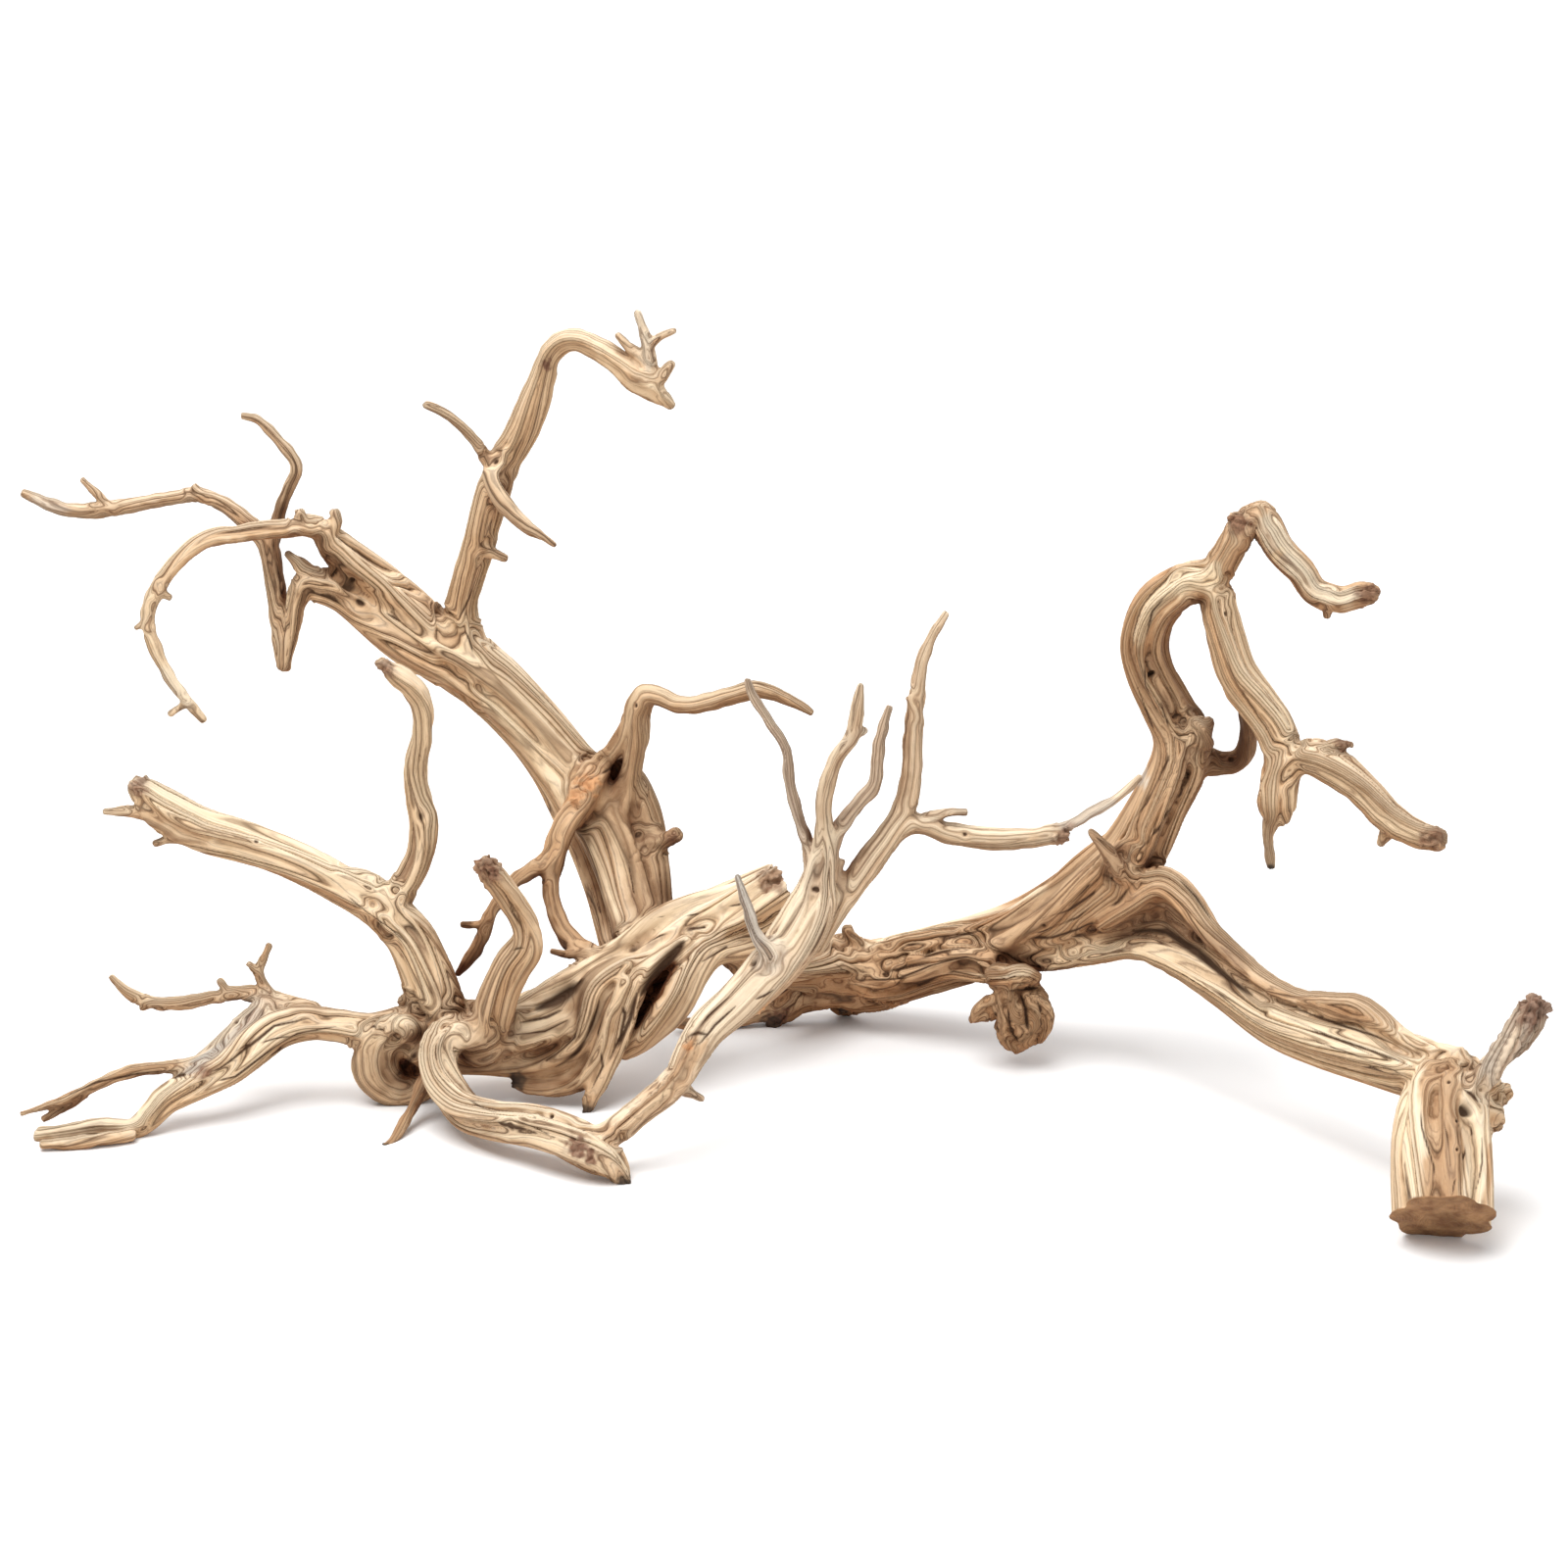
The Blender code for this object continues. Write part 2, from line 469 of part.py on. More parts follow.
    # The leg that comes forward to the sawn block
    "leg_under_strand": Limb([
        Station(1010, 975, 144, 22), Station(1060, 978, 126, 19), Station(1110, 972, 106, 16),
        Station(1158, 966, 88, 16), Station(1200, 978, 66, 21), Station(1250, 1006, 34, 27),
        Station(1300, 1040, -2, 31), Station(1350, 1060, -40, 34), Station(1400, 1076, -78, 35),
        Station(1440, 1088, -106, 36), Station(1478, 1100, -131, 36), Station(1504, 1112, -142, 28),
    ], flutes=5, groove=0.13, twist=0.15),
    "leg_upper_strand": Limb([
        Station(1128, 935, 104, 28), Station(1158, 918, 92, 26), Station(1188, 902, 80, 22),
        Station(1213, 920, 66, 20), Station(1234, 950, 48, 17), Station(1262, 977, 26, 15),
        Station(1292, 1003, 2, 14), Station(1326, 1020, -24, 13), Station(1360, 1026, -50, 16),
        Station(1390, 1030, -72, 16), Station(1418, 1050, -94, 13), Station(1450, 1070, -118, 13),
        Station(1490, 1078, -136, 12),
    ], flutes=4, groove=0.18, twist=0.15),
    "sawn_block": Limb([
        Station(1488, 1092, -118, 34), Station(1478, 1112, -136, 48), Station(1473, 1150, -157, 55),
        Station(1473, 1200, -180, 58), Station(1473, 1251, -202, 57),
    ], flutes=7, groove=0.10, twist=0.05),
    "block_back_lump": Limb([
        Station(1506, 1108, -138, 26), Station(1528, 1116, -132, 16), Station(1541, 1112, -130, 9),
    ], flutes=3, groove=0.2),
    "block_side_lump": Limb([
        Station(1506, 1128, -144, 24), Station(1524, 1142, -142, 16), Station(1531, 1146, -142, 10),
    ], flutes=3, groove=0.2),
    "block_stub": Limb([
        Station(1495, 1130, -158, 18), Station(1508, 1108, -156, 15), Station(1524, 1084, -152, 16),
        Station(1547, 1058, -148, 17), Station(1562, 1036, -146, 18), Station(1570, 1022, -145, 14),
    ], flutes=4, groove=0.24, twist=0.4),
}

# A sawn limb ends flat, the others end in a rounded tip
SAWN_LIMBS = ("sawn_block",)


def place(station):
    """The station's point, found by going from the eye through its place in the view."""
    forward = np.array([0.0, cos(VIEW_TILT), -sin(VIEW_TILT)])
    upward = np.array([0.0, sin(VIEW_TILT), cos(VIEW_TILT)])
    rightward = np.array([1.0, 0.0, 0.0])
    eye = np.array([0.0, 0.0, VIEW_AIM_HEIGHT]) - forward * VIEW_DISTANCE
    ray = (
        forward * VIEW_DISTANCE / VIEW_SCALE
        + rightward * (station.column - VIEW_CENTRE)
        + upward * (VIEW_CENTRE - station.row)
    )
    return eye + ray * (station.depth * DEPTH_RATIO - eye[1]) / ray[1]


def smooth_route(stations):
    """Evenly spaced centre points and widths on a curve through the stations."""
    knots = np.array([[*place(s), max(s.width, THINNEST_WOOD)] for s in stations])
    knots = np.vstack([2 * knots[0] - knots[1], knots, 2 * knots[-1] - knots[-2]])
    knots[[0, -1], 3] = knots[[1, -2], 3]
    rows = []
    for a, b, c, d in zip(knots, knots[1:], knots[2:], knots[3:]):
        span = np.linalg.norm(c[:3] - b[:3])
        step = max(SHORTEST_RING_STEP, RING_STEP_SHARE * (b[3] + c[3]) / 2)
        for t in np.linspace(0, 1, max(2, round(span / step)), endpoint=False):
            rows.append(0.5 * (
                2 * b + (c - a) * t + (2 * a - 5 * b + 4 * c - d) * t ** 2
                + (3 * b - a - 3 * c + d) * t ** 3
            ))
    rows.append(knots[-2])
    rows = np.array(rows)
    return rows[:, :3], np.maximum(rows[:, 3], THINNEST_WOOD)


def carried_frames(centres):
    """Two directions across the limb at every centre, carried along it without spinning."""
    along = np.gradient(centres, axis=0)
    along /= np.linalg.norm(along, axis=1)[:, None]
    across = np.cross(along[0], [0.0, 0.0, 1.0])
    if np.linalg.norm(across) < 0.2:
        across = np.cross(along[0], [0.0, 1.0, 0.0])
    first, second = [], []
    for tangent in along:
        across = across - tangent * (across @ tangent)
        across = across / np.linalg.norm(across)
        first.append(across)
        second.append(np.cross(tangent, across))
    return along, np.array(first), np.array(second)


def ridge_profile(angle, run, limb, phase):
    """The share of the full radius that the fluted surface keeps, broad ridge to narrow groove."""
    turned = angle + 2 * pi * limb.twist * run + phase
    valley = (1 - np.abs(np.sin(turned * limb.flutes / 2))) ** VALLEY_SHARPNESS
    wander = VALLEY_LEAST + (1 - VALLEY_LEAST) * np.sin(turned + 5 * run + 2 * phase) ** 2
    return 1 + limb.groove * (RIDGE_LIFT - VALLEY_DEPTH * valley * wander)


def limb_skin(limb, phase, sawn):
    """Points and faces of one limb's closed skin."""
    centres, widths = smooth_route(limb.stations)
    along, first, second = carried_frames(centres)
    angles = np.linspace(0, 2 * pi, RING_SIDES, endpoint=False)
    run = np.linspace(0, 1, len(centres))
    rings = []
    for i, centre in enumerate(centres):
        radius = widths[i] / 2 * ridge_profile(angles, run[i], limb, phase)
        side = np.outer(np.cos(angles) * radius, first[i])
        rise = np.outer(np.sin(angles) * radius * limb.flat, second[i])
        rings.append(centre + side + rise)
    if not sawn:
        end_centre = centres[-1] + along[-1] * widths[-1] * TIP_LENGTH_SHARE
        rings.append(end_centre + (rings[-1] - centres[-1]) * TIP_WIDTH_SHARE)
    points = np.vstack([*rings, centres[:1], rings[-1].mean(0)[None]])
    root_middle, tip_middle = len(points) - 2, len(points) - 1
    last = (len(rings) - 1) * RING_SIDES
    faces = []
    for i in range(len(rings) - 1):
        low, high = i * RING_SIDES, (i + 1) * RING_SIDES
        for j in range(RING_SIDES):
            k = (j + 1) % RING_SIDES
            faces.append((low + j, low + k, high + k, high + j))
    for j in range(RING_SIDES):
        k = (j + 1) % RING_SIDES
        faces.append((root_middle, k, j))
        faces.append((tip_middle, last + j, last + k))
    return points, faces


def bundle_of_limbs():
    """One mesh that holds every limb's skin, each of them closed and reaching into the next."""
    points, faces, count = [], [], 0
    for number, (name, limb) in enumerate(LIMBS.items()):
        phase = PHASE_STEP * number
        skin, skin_faces = limb_skin(limb, phase, sawn=name in SAWN_LIMBS)
        points.append(skin * METRE)
        faces += [tuple(count + v for v in face) for face in skin_faces]
        count += len(skin)
    mesh = bpy.data.meshes.new("limbs")
    mesh.from_pydata(np.vstack(points).tolist(), [], faces)
    return mesh


def grow_together(wood):
    """Gives the limbs one skin, softens where they meet, and lowers the number of faces."""
    skin = wood.modifiers.new("One skin", "REMESH")
    skin.mode = "VOXEL"
    skin.voxel_size = SKIN_GRID * METRE
    soften = wood.modifiers.new("Soften joints", "SMOOTH")
    soften.factor = 0.5
    soften.iterations = 2
    grown = wood.evaluated_get(bpy.context.evaluated_depsgraph_get())
    thin_out = wood.modifiers.new("Fewer faces", "DECIMATE")
    thin_out.ratio = FACE_TARGET / (2 * len(grown.data.polygons))
    thinned = wood.evaluated_get(bpy.context.evaluated_depsgraph_get())
    mesh = bpy.data.meshes.new_from_object(thinned)
    wood.modifiers.clear()
    wood.data = mesh


def drop_crumbs(bm):
    """Deletes every body but the largest, because thinning out can leave a stray sliver."""
    unseen, bodies = set(bm.verts), []
    while unseen:
        body, waiting = set(), [unseen.pop()]
        while waiting:
            vertex = waiting.pop()
            body.add(vertex)
            fresh = {e.other_vert(vertex) for e in vertex.link_edges} & unseen
            unseen -= fresh
            waiting += fresh
        bodies.append(body)
    bodies.sort(key=len)
    crumbs = [vertex for body in bodies[:-1] for vertex in body]
    bmesh.ops.delete(bm, geom=crumbs, context="VERTS")


def stand_on_floor(mesh):
    """Scales the wood to its length, centres it, and trims its feet flat at floor level."""
    bm = bmesh.new()
    bm.from_mesh(mesh)
    drop_crumbs(bm)
    spots = np.array([v.co for v in bm.verts])
    lowest, highest = spots.min(0), spots.max(0)
    scale = OVERALL_LENGTH * METRE / (highest[0] - lowest[0])
    middle = (lowest + highest) / 2
    floor = FOOT_TRIM * METRE
    for vertex in bm.verts:
        x, y, z = vertex.co
        vertex.co = ((x - middle[0]) * scale, (y - middle[1]) * scale, z * scale - floor)
    cut = bmesh.ops.bisect_plane(
        bm, geom=[*bm.verts, *bm.edges, *bm.faces], dist=1e-7,
        plane_co=(0, 0, 0), plane_no=(0, 0, -1), clear_outer=True,
    )
    rim = [e for e in cut["geom_cut"] if isinstance(e, bmesh.types.BMEdge)]
    bmesh.ops.contextual_create(bm, geom=rim)
    bmesh.ops.triangulate(bm, faces=bm.faces)
    bmesh.ops.recalc_face_normals(bm, faces=bm.faces)
    bm.to_mesh(mesh)
    bm.free()


def bare_wood():
    """The dry, silvery tan of bare weathered wood."""
    material = bpy.data.materials.new("weathered_wood")
    material.use_nodes = True
    shader = material.node_tree.nodes["Principled BSDF"]
    shader.inputs["Base Color"].default_value = WOOD_COLOUR
    shader.inputs["Roughness"].default_value = WOOD_ROUGHNESS
    shader.inputs["Metallic"].default_value = 0.0
    return material


def main():
    for old in list(bpy.data.objects):
        bpy.data.objects.remove(old)
    wood = bpy.data.objects.new("ghost_wood", bundle_of_limbs())
    bpy.context.scene.collection.objects.link(wood)
    grow_together(wood)
    stand_on_floor(wood.data)
    wood.data.materials.append(bare_wood())
    wood.data.shade_smooth()


main()
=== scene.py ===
"""Ghost wood: bare, weathered desert wood, dressed around its CAD solid for a picture.

The wood is grown again from its limbs at a fine grid, carved along its grain, and parted into
pieces that a viewer can't tell apart. In the tables, places are columns and rows of a picture
1600 units wide, and sizes are millimetres. The grain's own coordinates are millimetres too.
Everything else is in metres.
"""

from math import cos, pi, radians, sin
from typing import NamedTuple

import bmesh
import bpy
import numpy as np
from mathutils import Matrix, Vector, noise
from mathutils.bvhtree import BVHTree


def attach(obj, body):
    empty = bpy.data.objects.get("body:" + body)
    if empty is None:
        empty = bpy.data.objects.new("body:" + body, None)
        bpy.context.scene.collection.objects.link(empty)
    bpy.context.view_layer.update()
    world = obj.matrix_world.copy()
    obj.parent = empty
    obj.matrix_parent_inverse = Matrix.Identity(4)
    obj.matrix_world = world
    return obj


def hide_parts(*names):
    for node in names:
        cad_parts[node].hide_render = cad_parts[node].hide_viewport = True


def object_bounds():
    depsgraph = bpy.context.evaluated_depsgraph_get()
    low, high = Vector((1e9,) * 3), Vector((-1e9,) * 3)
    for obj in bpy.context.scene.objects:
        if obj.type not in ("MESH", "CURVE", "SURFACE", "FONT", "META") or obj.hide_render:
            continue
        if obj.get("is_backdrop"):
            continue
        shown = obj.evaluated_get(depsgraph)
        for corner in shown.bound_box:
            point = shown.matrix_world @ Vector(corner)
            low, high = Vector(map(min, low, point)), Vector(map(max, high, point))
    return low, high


bl_info = {
    "name": "Ghost Wood",
    "version": (1, 0, 0),
    "blender": (4, 5, 0),
    "location": "3D View > Sidebar > Ghost Wood",
    "description": "Grows, carves and lights a piece of weathered desert wood",
    "category": "Object",
}

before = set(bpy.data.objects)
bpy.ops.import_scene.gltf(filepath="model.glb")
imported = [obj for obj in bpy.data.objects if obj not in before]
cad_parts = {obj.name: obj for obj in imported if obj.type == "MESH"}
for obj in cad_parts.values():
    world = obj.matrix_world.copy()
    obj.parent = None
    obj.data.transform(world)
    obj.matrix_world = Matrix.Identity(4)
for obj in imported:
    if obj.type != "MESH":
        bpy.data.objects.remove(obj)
CAD_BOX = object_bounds()

MM = 0.001

# The view in which the limbs were read
VIEW_DISTANCE = 2.4
VIEW_TILT = radians(19.0)
VIEW_CENTRE = 800.0
VIEW_SCALE = 0.556
VIEW_AIM_HEIGHT = 0.212
DEPTH_RATIO = 0.84

# From the limbs' own measure to the frame of the CAD solid
FIT_SCALE = 1.02949
FIT_MIDDLE = np.array([-0.018879, 0.002815, 0.0])
FOOT_TRIM = 1.2 * MM

# How a limb's skin is ringed and closed
THINNEST_WOOD = 4.6
SHORTEST_RING_STEP = 2.5
RING_STEP_SHARE = 0.16
RING_SIDES = 48
TIP_LENGTH_SHARE = 0.18
TIP_WIDTH_SHARE = 0.6
ROOT_LENGTH_SHARE = 0.25
ROOT_WIDTH_SHARE = 0.6
SAWN_LIMBS = ("sawn_block",)
CUT_ROOTS = ("trunk_core", "trunk_top_ridge")

# The ridges and valleys of a limb's flutes
RIDGE_LIFT = 0.4
VALLEY_DEPTH = 2.6
VALLEY_LEAST = 0.45
PHASE_STEP = 1.7

# How the grain runs from limb to limb
GRAIN_RADIUS = 10.0
GRAIN_STRETCH = 12.0
PARENT_REACH = 8 * MM
BLEND_REACH = 3.0 * MM
BLEND_SHARE = 0.12
LIMB_REACH = 14.0 * MM

# How the grain wanders, and how far its rings are drawn out along a limb
WANDER_WIDTH = 3.0
WANDER_STRETCH = [1.0, 1.0, 1.3]
WAVE_WIDTH = 1.7
WAVE_STRETCH = [1.0, 1.0, 1.8]
RING_STRETCH = [1.0, 1.0, 0.27]
RING_COUNT = 9.5
RING_WAVER = 0.6
STRENGTH_STRETCH = [1.0, 1.0, 0.6]
CREASE_STRETCH = [1.0, 1.0, 2.0]
THICK_LIMB = 13 * MM
KNOBBLE_HEIGHT = 1.3 * MM

# How sheltered places and open sky are found, for the painted shade and highlight
SKY_STRIDE = 13
SKY_REACH = 90 * MM
SKY_RAYS = 40
SKY_LIFT = 1.2 * MM
SKY_SPREADS = 14
FLATTEST_RAY = 0.08

# The sawn end: where it shows, how thick its edge is, how far it tilts and how flat it is pressed
SAWN_PLACE = (1473, 1251)
SAWN_REACH = 1.2 * MM
SAWN_TILT = 9 * MM
SAWN_PRESS = 0.96
SAWN_ROUGHNESS = 1.3 * MM
SAWN_WIDTH = 1.6

# Pushed-in places are evened out in a few rounds, fully where they were pushed this far
EVENING_ROUNDS = 4
EVENING_PUSH = 3 * MM
EVENING_MOST = 0.8

PARTING_MARGIN = 3 * MM


class Pattern(NamedTuple):
    """A smooth noise: the size of its features in millimetres, and its own number."""

    size: float
    number: int


WANDER_SIDE, WANDER_RISE = Pattern(14, 1), Pattern(14, 2)
WAVE_SIDE, WAVE_RISE, WAVY_PLACES = Pattern(7, 11), Pattern(7, 12), Pattern(12, 31)
BROAD_RINGS, CLOSE_RINGS = Pattern(18, 3), Pattern(5, 4)
GROOVE_STRENGTH, SWELLS, KNOBBLES = Pattern(10, 5), Pattern(13, 6), Pattern(8, 62)
SCAR_EDGE, SCAR_LUMPS, BARK_PITS = Pattern(3, 21), Pattern(2.6, 22), Pattern(2.6, 28)
BREAK_EDGE, LONG_TEETH, SHORT_TEETH = Pattern(5, 23), Pattern(3.2, 24), Pattern(1.7, 27)
DARK_TIP_EDGE, DARK_TIP_LUMPS = Pattern(3, 25), Pattern(2.4, 26)
STROKE_EDGE, SAW_WAVES = Pattern(3, 41), Pattern(11, 61)
CREASES, CREASE_WAVER = Pattern(6.5, 51), Pattern(5, 52)
PATTERN_STEP = np.array([17.31, 9.13, 5.77])


class Limb(NamedTuple):
    """A limb's flutes, their depth, twist and flatness, and its stations from root to tip.

    A station is a picture column and row, a depth behind the middle plane, and a width.
    """

    flutes: int
    groove: float
    twist: float
    flat: float
    stations: tuple


def twig(*stations):
    """A thin limb with two shallow flutes."""
    return Limb(2, 0.1, 0.15, 1, stations)


LIMBS = {
    "rear_trunk": Limb(7, 0.13, 0.12, 1, (
        (672, 1018, 84, 46), (657, 975, 112, 50), (645, 930, 140, 50), (635, 888, 158, 52),
        (620, 848, 172, 53), (598, 812, 184, 50), (574, 779, 193, 42), (543, 740, 200, 39),
        (500, 696, 205, 40), (460, 668, 208, 42), (425, 645, 208, 37), (398, 622, 207, 31),
    )),
    "rear_trunk_dark_side": Limb(3, 0.15, 0.1, 1, (
        (664, 985, 112, 22), (668, 940, 134, 24), (667, 890, 150, 26), (662, 845, 162, 24),
        (650, 805, 170, 20), (632, 778, 180, 18),
    )),
    "rear_trunk_stub": Limb(3, 0.1, 0.15, 1, (
        (650, 868, 156, 14), (668, 861, 150, 9), (683, 853, 147, 6),
    )),
    "arch_branch": Limb(4, 0.12, 0.15, 1, (
        (455, 662, 208, 32), (425, 632, 206, 30), (388, 598, 203, 27), (357, 572, 198, 24),
        (338, 553, 194, 19), (328, 541, 190, 15), (314, 537, 187, 14), (295, 539, 182, 12),
        (270, 541, 177, 12), (243, 545, 171, 12), (215, 549, 165, 12), (192, 562, 160, 12),
        (172, 583, 155, 11), (157, 608, 150, 11), (151, 632, 146, 9), (158, 660, 142, 9),
        (173, 690, 139, 8), (190, 714, 137, 7), (208, 735, 136, 5),
    )),
    "arch_knob_right": Limb(3, 0.1, 0.15, 1, (
        (332, 546, 192, 14), (341, 533, 192, 10), (341, 521, 192, 7),
    )),
    "arch_knob_left": Limb(3, 0.1, 0.15, 1, ((307, 538, 185, 11), (306, 521, 184, 7))),
    "arch_thorn_outer": twig((154, 632, 146, 6), (138, 641, 145, 4)),
    "arch_thorn_inner": twig((158, 600, 151, 7), (174, 611, 150, 4)),
    "arch_thorn_tip": twig((193, 715, 137, 6), (173, 729, 136, 4)),
    "hump_branch": Limb(5, 0.12, 0.15, 1, (
        (458, 678, 206, 34), (420, 656, 204, 34), (385, 634, 200, 29), (352, 611, 196, 22),
        (328, 598, 192, 23), (310, 598, 189, 18), (302, 616, 187, 13), (298, 640, 186, 11),
        (293, 662, 186, 10), (289, 681, 187, 9),
    )),
    "hump_spike": Limb(3, 0.1, 0.15, 1, (
        (320, 591, 190, 13), (304, 575, 189, 9), (293, 564, 188, 5),
    )),
    "hairpin_stem": Limb(4, 0.12, 0.15, 1, (
        (290, 682, 187, 9), (287, 656, 190, 12), (284, 620, 196, 14), (279, 585, 201, 14),
        (273, 556, 205, 14), (250, 531, 208, 12), (225, 513, 210, 10), (203, 505, 212, 10),
        (176, 508, 214, 9), (150, 512, 216, 9), (125, 517, 217, 10), (100, 520, 218, 10),
        (75, 521, 218, 9), (50, 514, 218, 8), (23, 503, 218, 5),
    )),
    "hairpin_knob": twig((203, 506, 212, 9), (198, 495, 212, 5)),
    "hairpin_twig": twig((112, 519, 218, 7), (101, 506, 218, 6), (84, 489, 220, 4)),
    "hairpin_right_arm": Limb(3, 0.1, 0.15, 1, (
        (276, 560, 204, 11), (283, 530, 203, 9), (294, 497, 202, 8), (302, 475, 201, 9),
        (285, 450, 203, 7), (264, 429, 206, 6), (247, 424, 207, 4),
    )),
    "upright_branch": Limb(4, 0.16, 0.25, 1, (
        (478, 690, 206, 36), (470, 650, 205, 28), (470, 618, 203, 20), (477, 590, 200, 20),
        (487, 558, 196, 20), (494, 530, 192, 20), (503, 500, 188, 21), (516, 468, 184, 19),
        (532, 440, 180, 20), (545, 410, 176, 20), (555, 382, 172, 16), (561, 363, 168, 14),
        (573, 350, 164, 14), (590, 347, 160, 13), (612, 357, 154, 14), (632, 371, 149, 15),
        (650, 386, 145, 17), (668, 399, 142, 13), (687, 415, 140, 5),
    )),
    "upright_end_fork": Limb(3, 0.1, 0.15, 1, (
        (655, 387, 145, 13), (674, 385, 142, 11), (686, 370, 141, 5),
    )),
    "upright_antler_tall": Limb(3, 0.1, 0.15, 1, (
        (661, 385, 145, 11), (663, 363, 145, 9), (657, 339, 145, 7), (650, 318, 145, 4),
    )),
    "upright_antler_left": twig((661, 372, 146, 9), (645, 357, 146, 7), (630, 341, 147, 4)),
    "upright_antler_right": twig((660, 357, 145, 7), (673, 344, 143, 6), (689, 337, 142, 4)),
    "upright_left_twig": twig(
        (514, 484, 184, 12), (497, 468, 181, 9), (485, 450, 179, 7), (467, 431, 176, 6),
        (450, 419, 174, 6), (433, 412, 172, 4),
    ),
    "upright_blade": Limb(3, 0.1, 0.15, 0.6, (
        (508, 468, 178, 12), (501, 486, 172, 13), (508, 506, 168, 14), (522, 524, 166, 13),
        (538, 538, 164, 11), (553, 547, 162, 8), (567, 557, 161, 4),
    )),
    "upright_stub": twig((493, 560, 192, 10), (506, 566, 188, 7), (517, 570, 186, 4)),
    "crotch_left_strand": Limb(3, 0.16, 0.15, 1, (
        (598, 806, 180, 26), (610, 784, 172, 15), (626, 766, 164, 11), (640, 744, 158, 12),
        (650, 722, 154, 12),
    )),
    "right_twig_branch": Limb(4, 0.13, 0.15, 1, (
        (632, 820, 168, 26), (642, 797, 164, 16), (647, 775, 160, 13), (651, 750, 156, 15),
        (651, 724, 154, 16), (660, 709, 152, 15), (674, 711, 150, 13), (689, 718, 147, 12),
        (708, 719, 144, 12), (728, 715, 141, 12), (750, 708, 138, 12), (770, 703, 136, 12),
        (787, 706, 134, 9), (803, 713, 132, 8), (816, 720, 131, 7), (829, 728, 130, 4),
    )),
    "pale_strand": Limb(4, 0.16, 0.15, 1, (
        (610, 790, 168, 22), (600, 806, 154, 21), (588, 827, 142, 18), (575, 846, 132, 16),
        (566, 870, 125, 16), (562, 898, 118, 13), (564, 922, 112, 12), (573, 946, 104, 12),
        (588, 965, 96, 14), (612, 980, 86, 14),
    )),
    "pale_strand_left": Limb(3, 0.1, 0.15, 1, (
        (566, 873, 124, 13), (551, 884, 118, 11), (536, 892, 112, 10), (522, 902, 106, 9),
        (510, 918, 100, 8), (500, 933, 95, 8), (494, 951, 90, 9), (487, 966, 86, 9),
        (477, 980, 83, 8), (466, 995, 80, 4),
    )),
    "pale_strand_twig": twig((496, 942, 92, 5), (484, 944, 90, 4), (471, 943, 88, 4)),
    "pointed_stub": twig(
        (618, 976, 84, 10), (598, 972, 86, 9), (580, 974, 86, 7), (562, 970, 87, 4),
    ),
    "trunk_core": Limb(6, 0.15, 0.3, 1, (
        (801, 908, 120, 40), (775, 921, 114, 40), (740, 938, 106, 40), (700, 954, 98, 36),
        (662, 975, 90, 34), (622, 1004, 78, 38), (588, 1036, 66, 42), (552, 1052, 58, 42),
        (515, 1056, 54, 42), (480, 1057, 52, 41), (445, 1054, 50, 40), (418, 1062, 48, 36),
    )),
    "trunk_top_ridge": Limb(3, 0.15, 0.15, 1, (
        (795, 897, 122, 20), (752, 915, 112, 21), (712, 926, 104, 21), (676, 940, 96, 20),
        (645, 962, 88, 19), (612, 982, 80, 18), (580, 1000, 70, 16), (552, 1016, 62, 14),
        (520, 1030, 58, 14),
    )),
    "trunk_right_strand": Limb(3, 0.18, 0.15, 1, (
        (780, 955, 108, 26), (750, 962, 96, 26), (722, 970, 84, 24), (705, 990, 70, 24),
        (692, 1014, 60, 24), (672, 1040, 54, 22), (650, 1062, 50, 18), (634, 1076, 47, 10),
    )),
    "trunk_under_strand": Limb(4, 0.15, 0.15, 1, (
        (735, 950, 108, 26), (748, 975, 102, 18), (762, 983, 104, 20), (785, 985, 126, 24),
        (812, 985, 152, 30), (845, 985, 178, 38), (880, 988, 188, 40),
    )),
    "trunk_spike_strand": Limb(3, 0.18, 0.15, 1, (
        (700, 962, 78, 16), (676, 978, 66, 16), (655, 998, 56, 15), (643, 1024, 48, 14),
        (636, 1050, 42, 13), (624, 1078, 36, 13), (610, 1106, 30, 12), (602, 1124, 26, 9),
        (598, 1138, 24, 5),
    )),
    "trunk_belly_strand": Limb(4, 0.16, 0.15, 1, (
        (668, 978, 76, 18), (634, 992, 62, 22), (610, 1010, 54, 24), (600, 1036, 48, 24),
        (590, 1060, 44, 22), (568, 1078, 44, 19), (538, 1087, 45, 16), (500, 1088, 46, 14),
        (462, 1086, 46, 14),
    )),
    "trunk_hook": Limb(3, 0.2, 0.15, 1, (
        (640, 1002, 52, 14), (626, 1030, 44, 15), (616, 1058, 40, 15), (606, 1082, 37, 15),
        (590, 1102, 36, 15), (566, 1110, 38, 13), (544, 1110, 40, 12), (525, 1104, 42, 10),
    )),
    "burl": Limb(3, 0.14, 0.15, 1, (
        (442, 1052, 48, 30), (412, 1049, 43, 24), (386, 1065, 40, 22), (378, 1087, 40, 22),
        (391, 1107, 42, 21), (416, 1112, 44, 20), (442, 1100, 48, 20),
    )),
    "burl_heart": Limb(3, 0.1, 0.15, 1, (
        (432, 1058, 46, 18), (410, 1054, 38, 15), (400, 1064, 36, 11),
    )),
    "burl_ear": twig((436, 1034, 52, 20), (420, 1020, 50, 12), (408, 1020, 50, 6)),
    "left_branch": Limb(5, 0.14, 0.3, 1, (
        (420, 1050, 46, 28), (377, 1053, 42, 23), (345, 1047, 40, 21), (313, 1044, 38, 23),
        (282, 1050, 33, 27), (256, 1067, 26, 29), (232, 1087, 16, 26), (203, 1104, 6, 21),
        (170, 1122, -6, 17), (146, 1145, -15, 14), (122, 1156, -20, 12), (80, 1158, -22, 11),
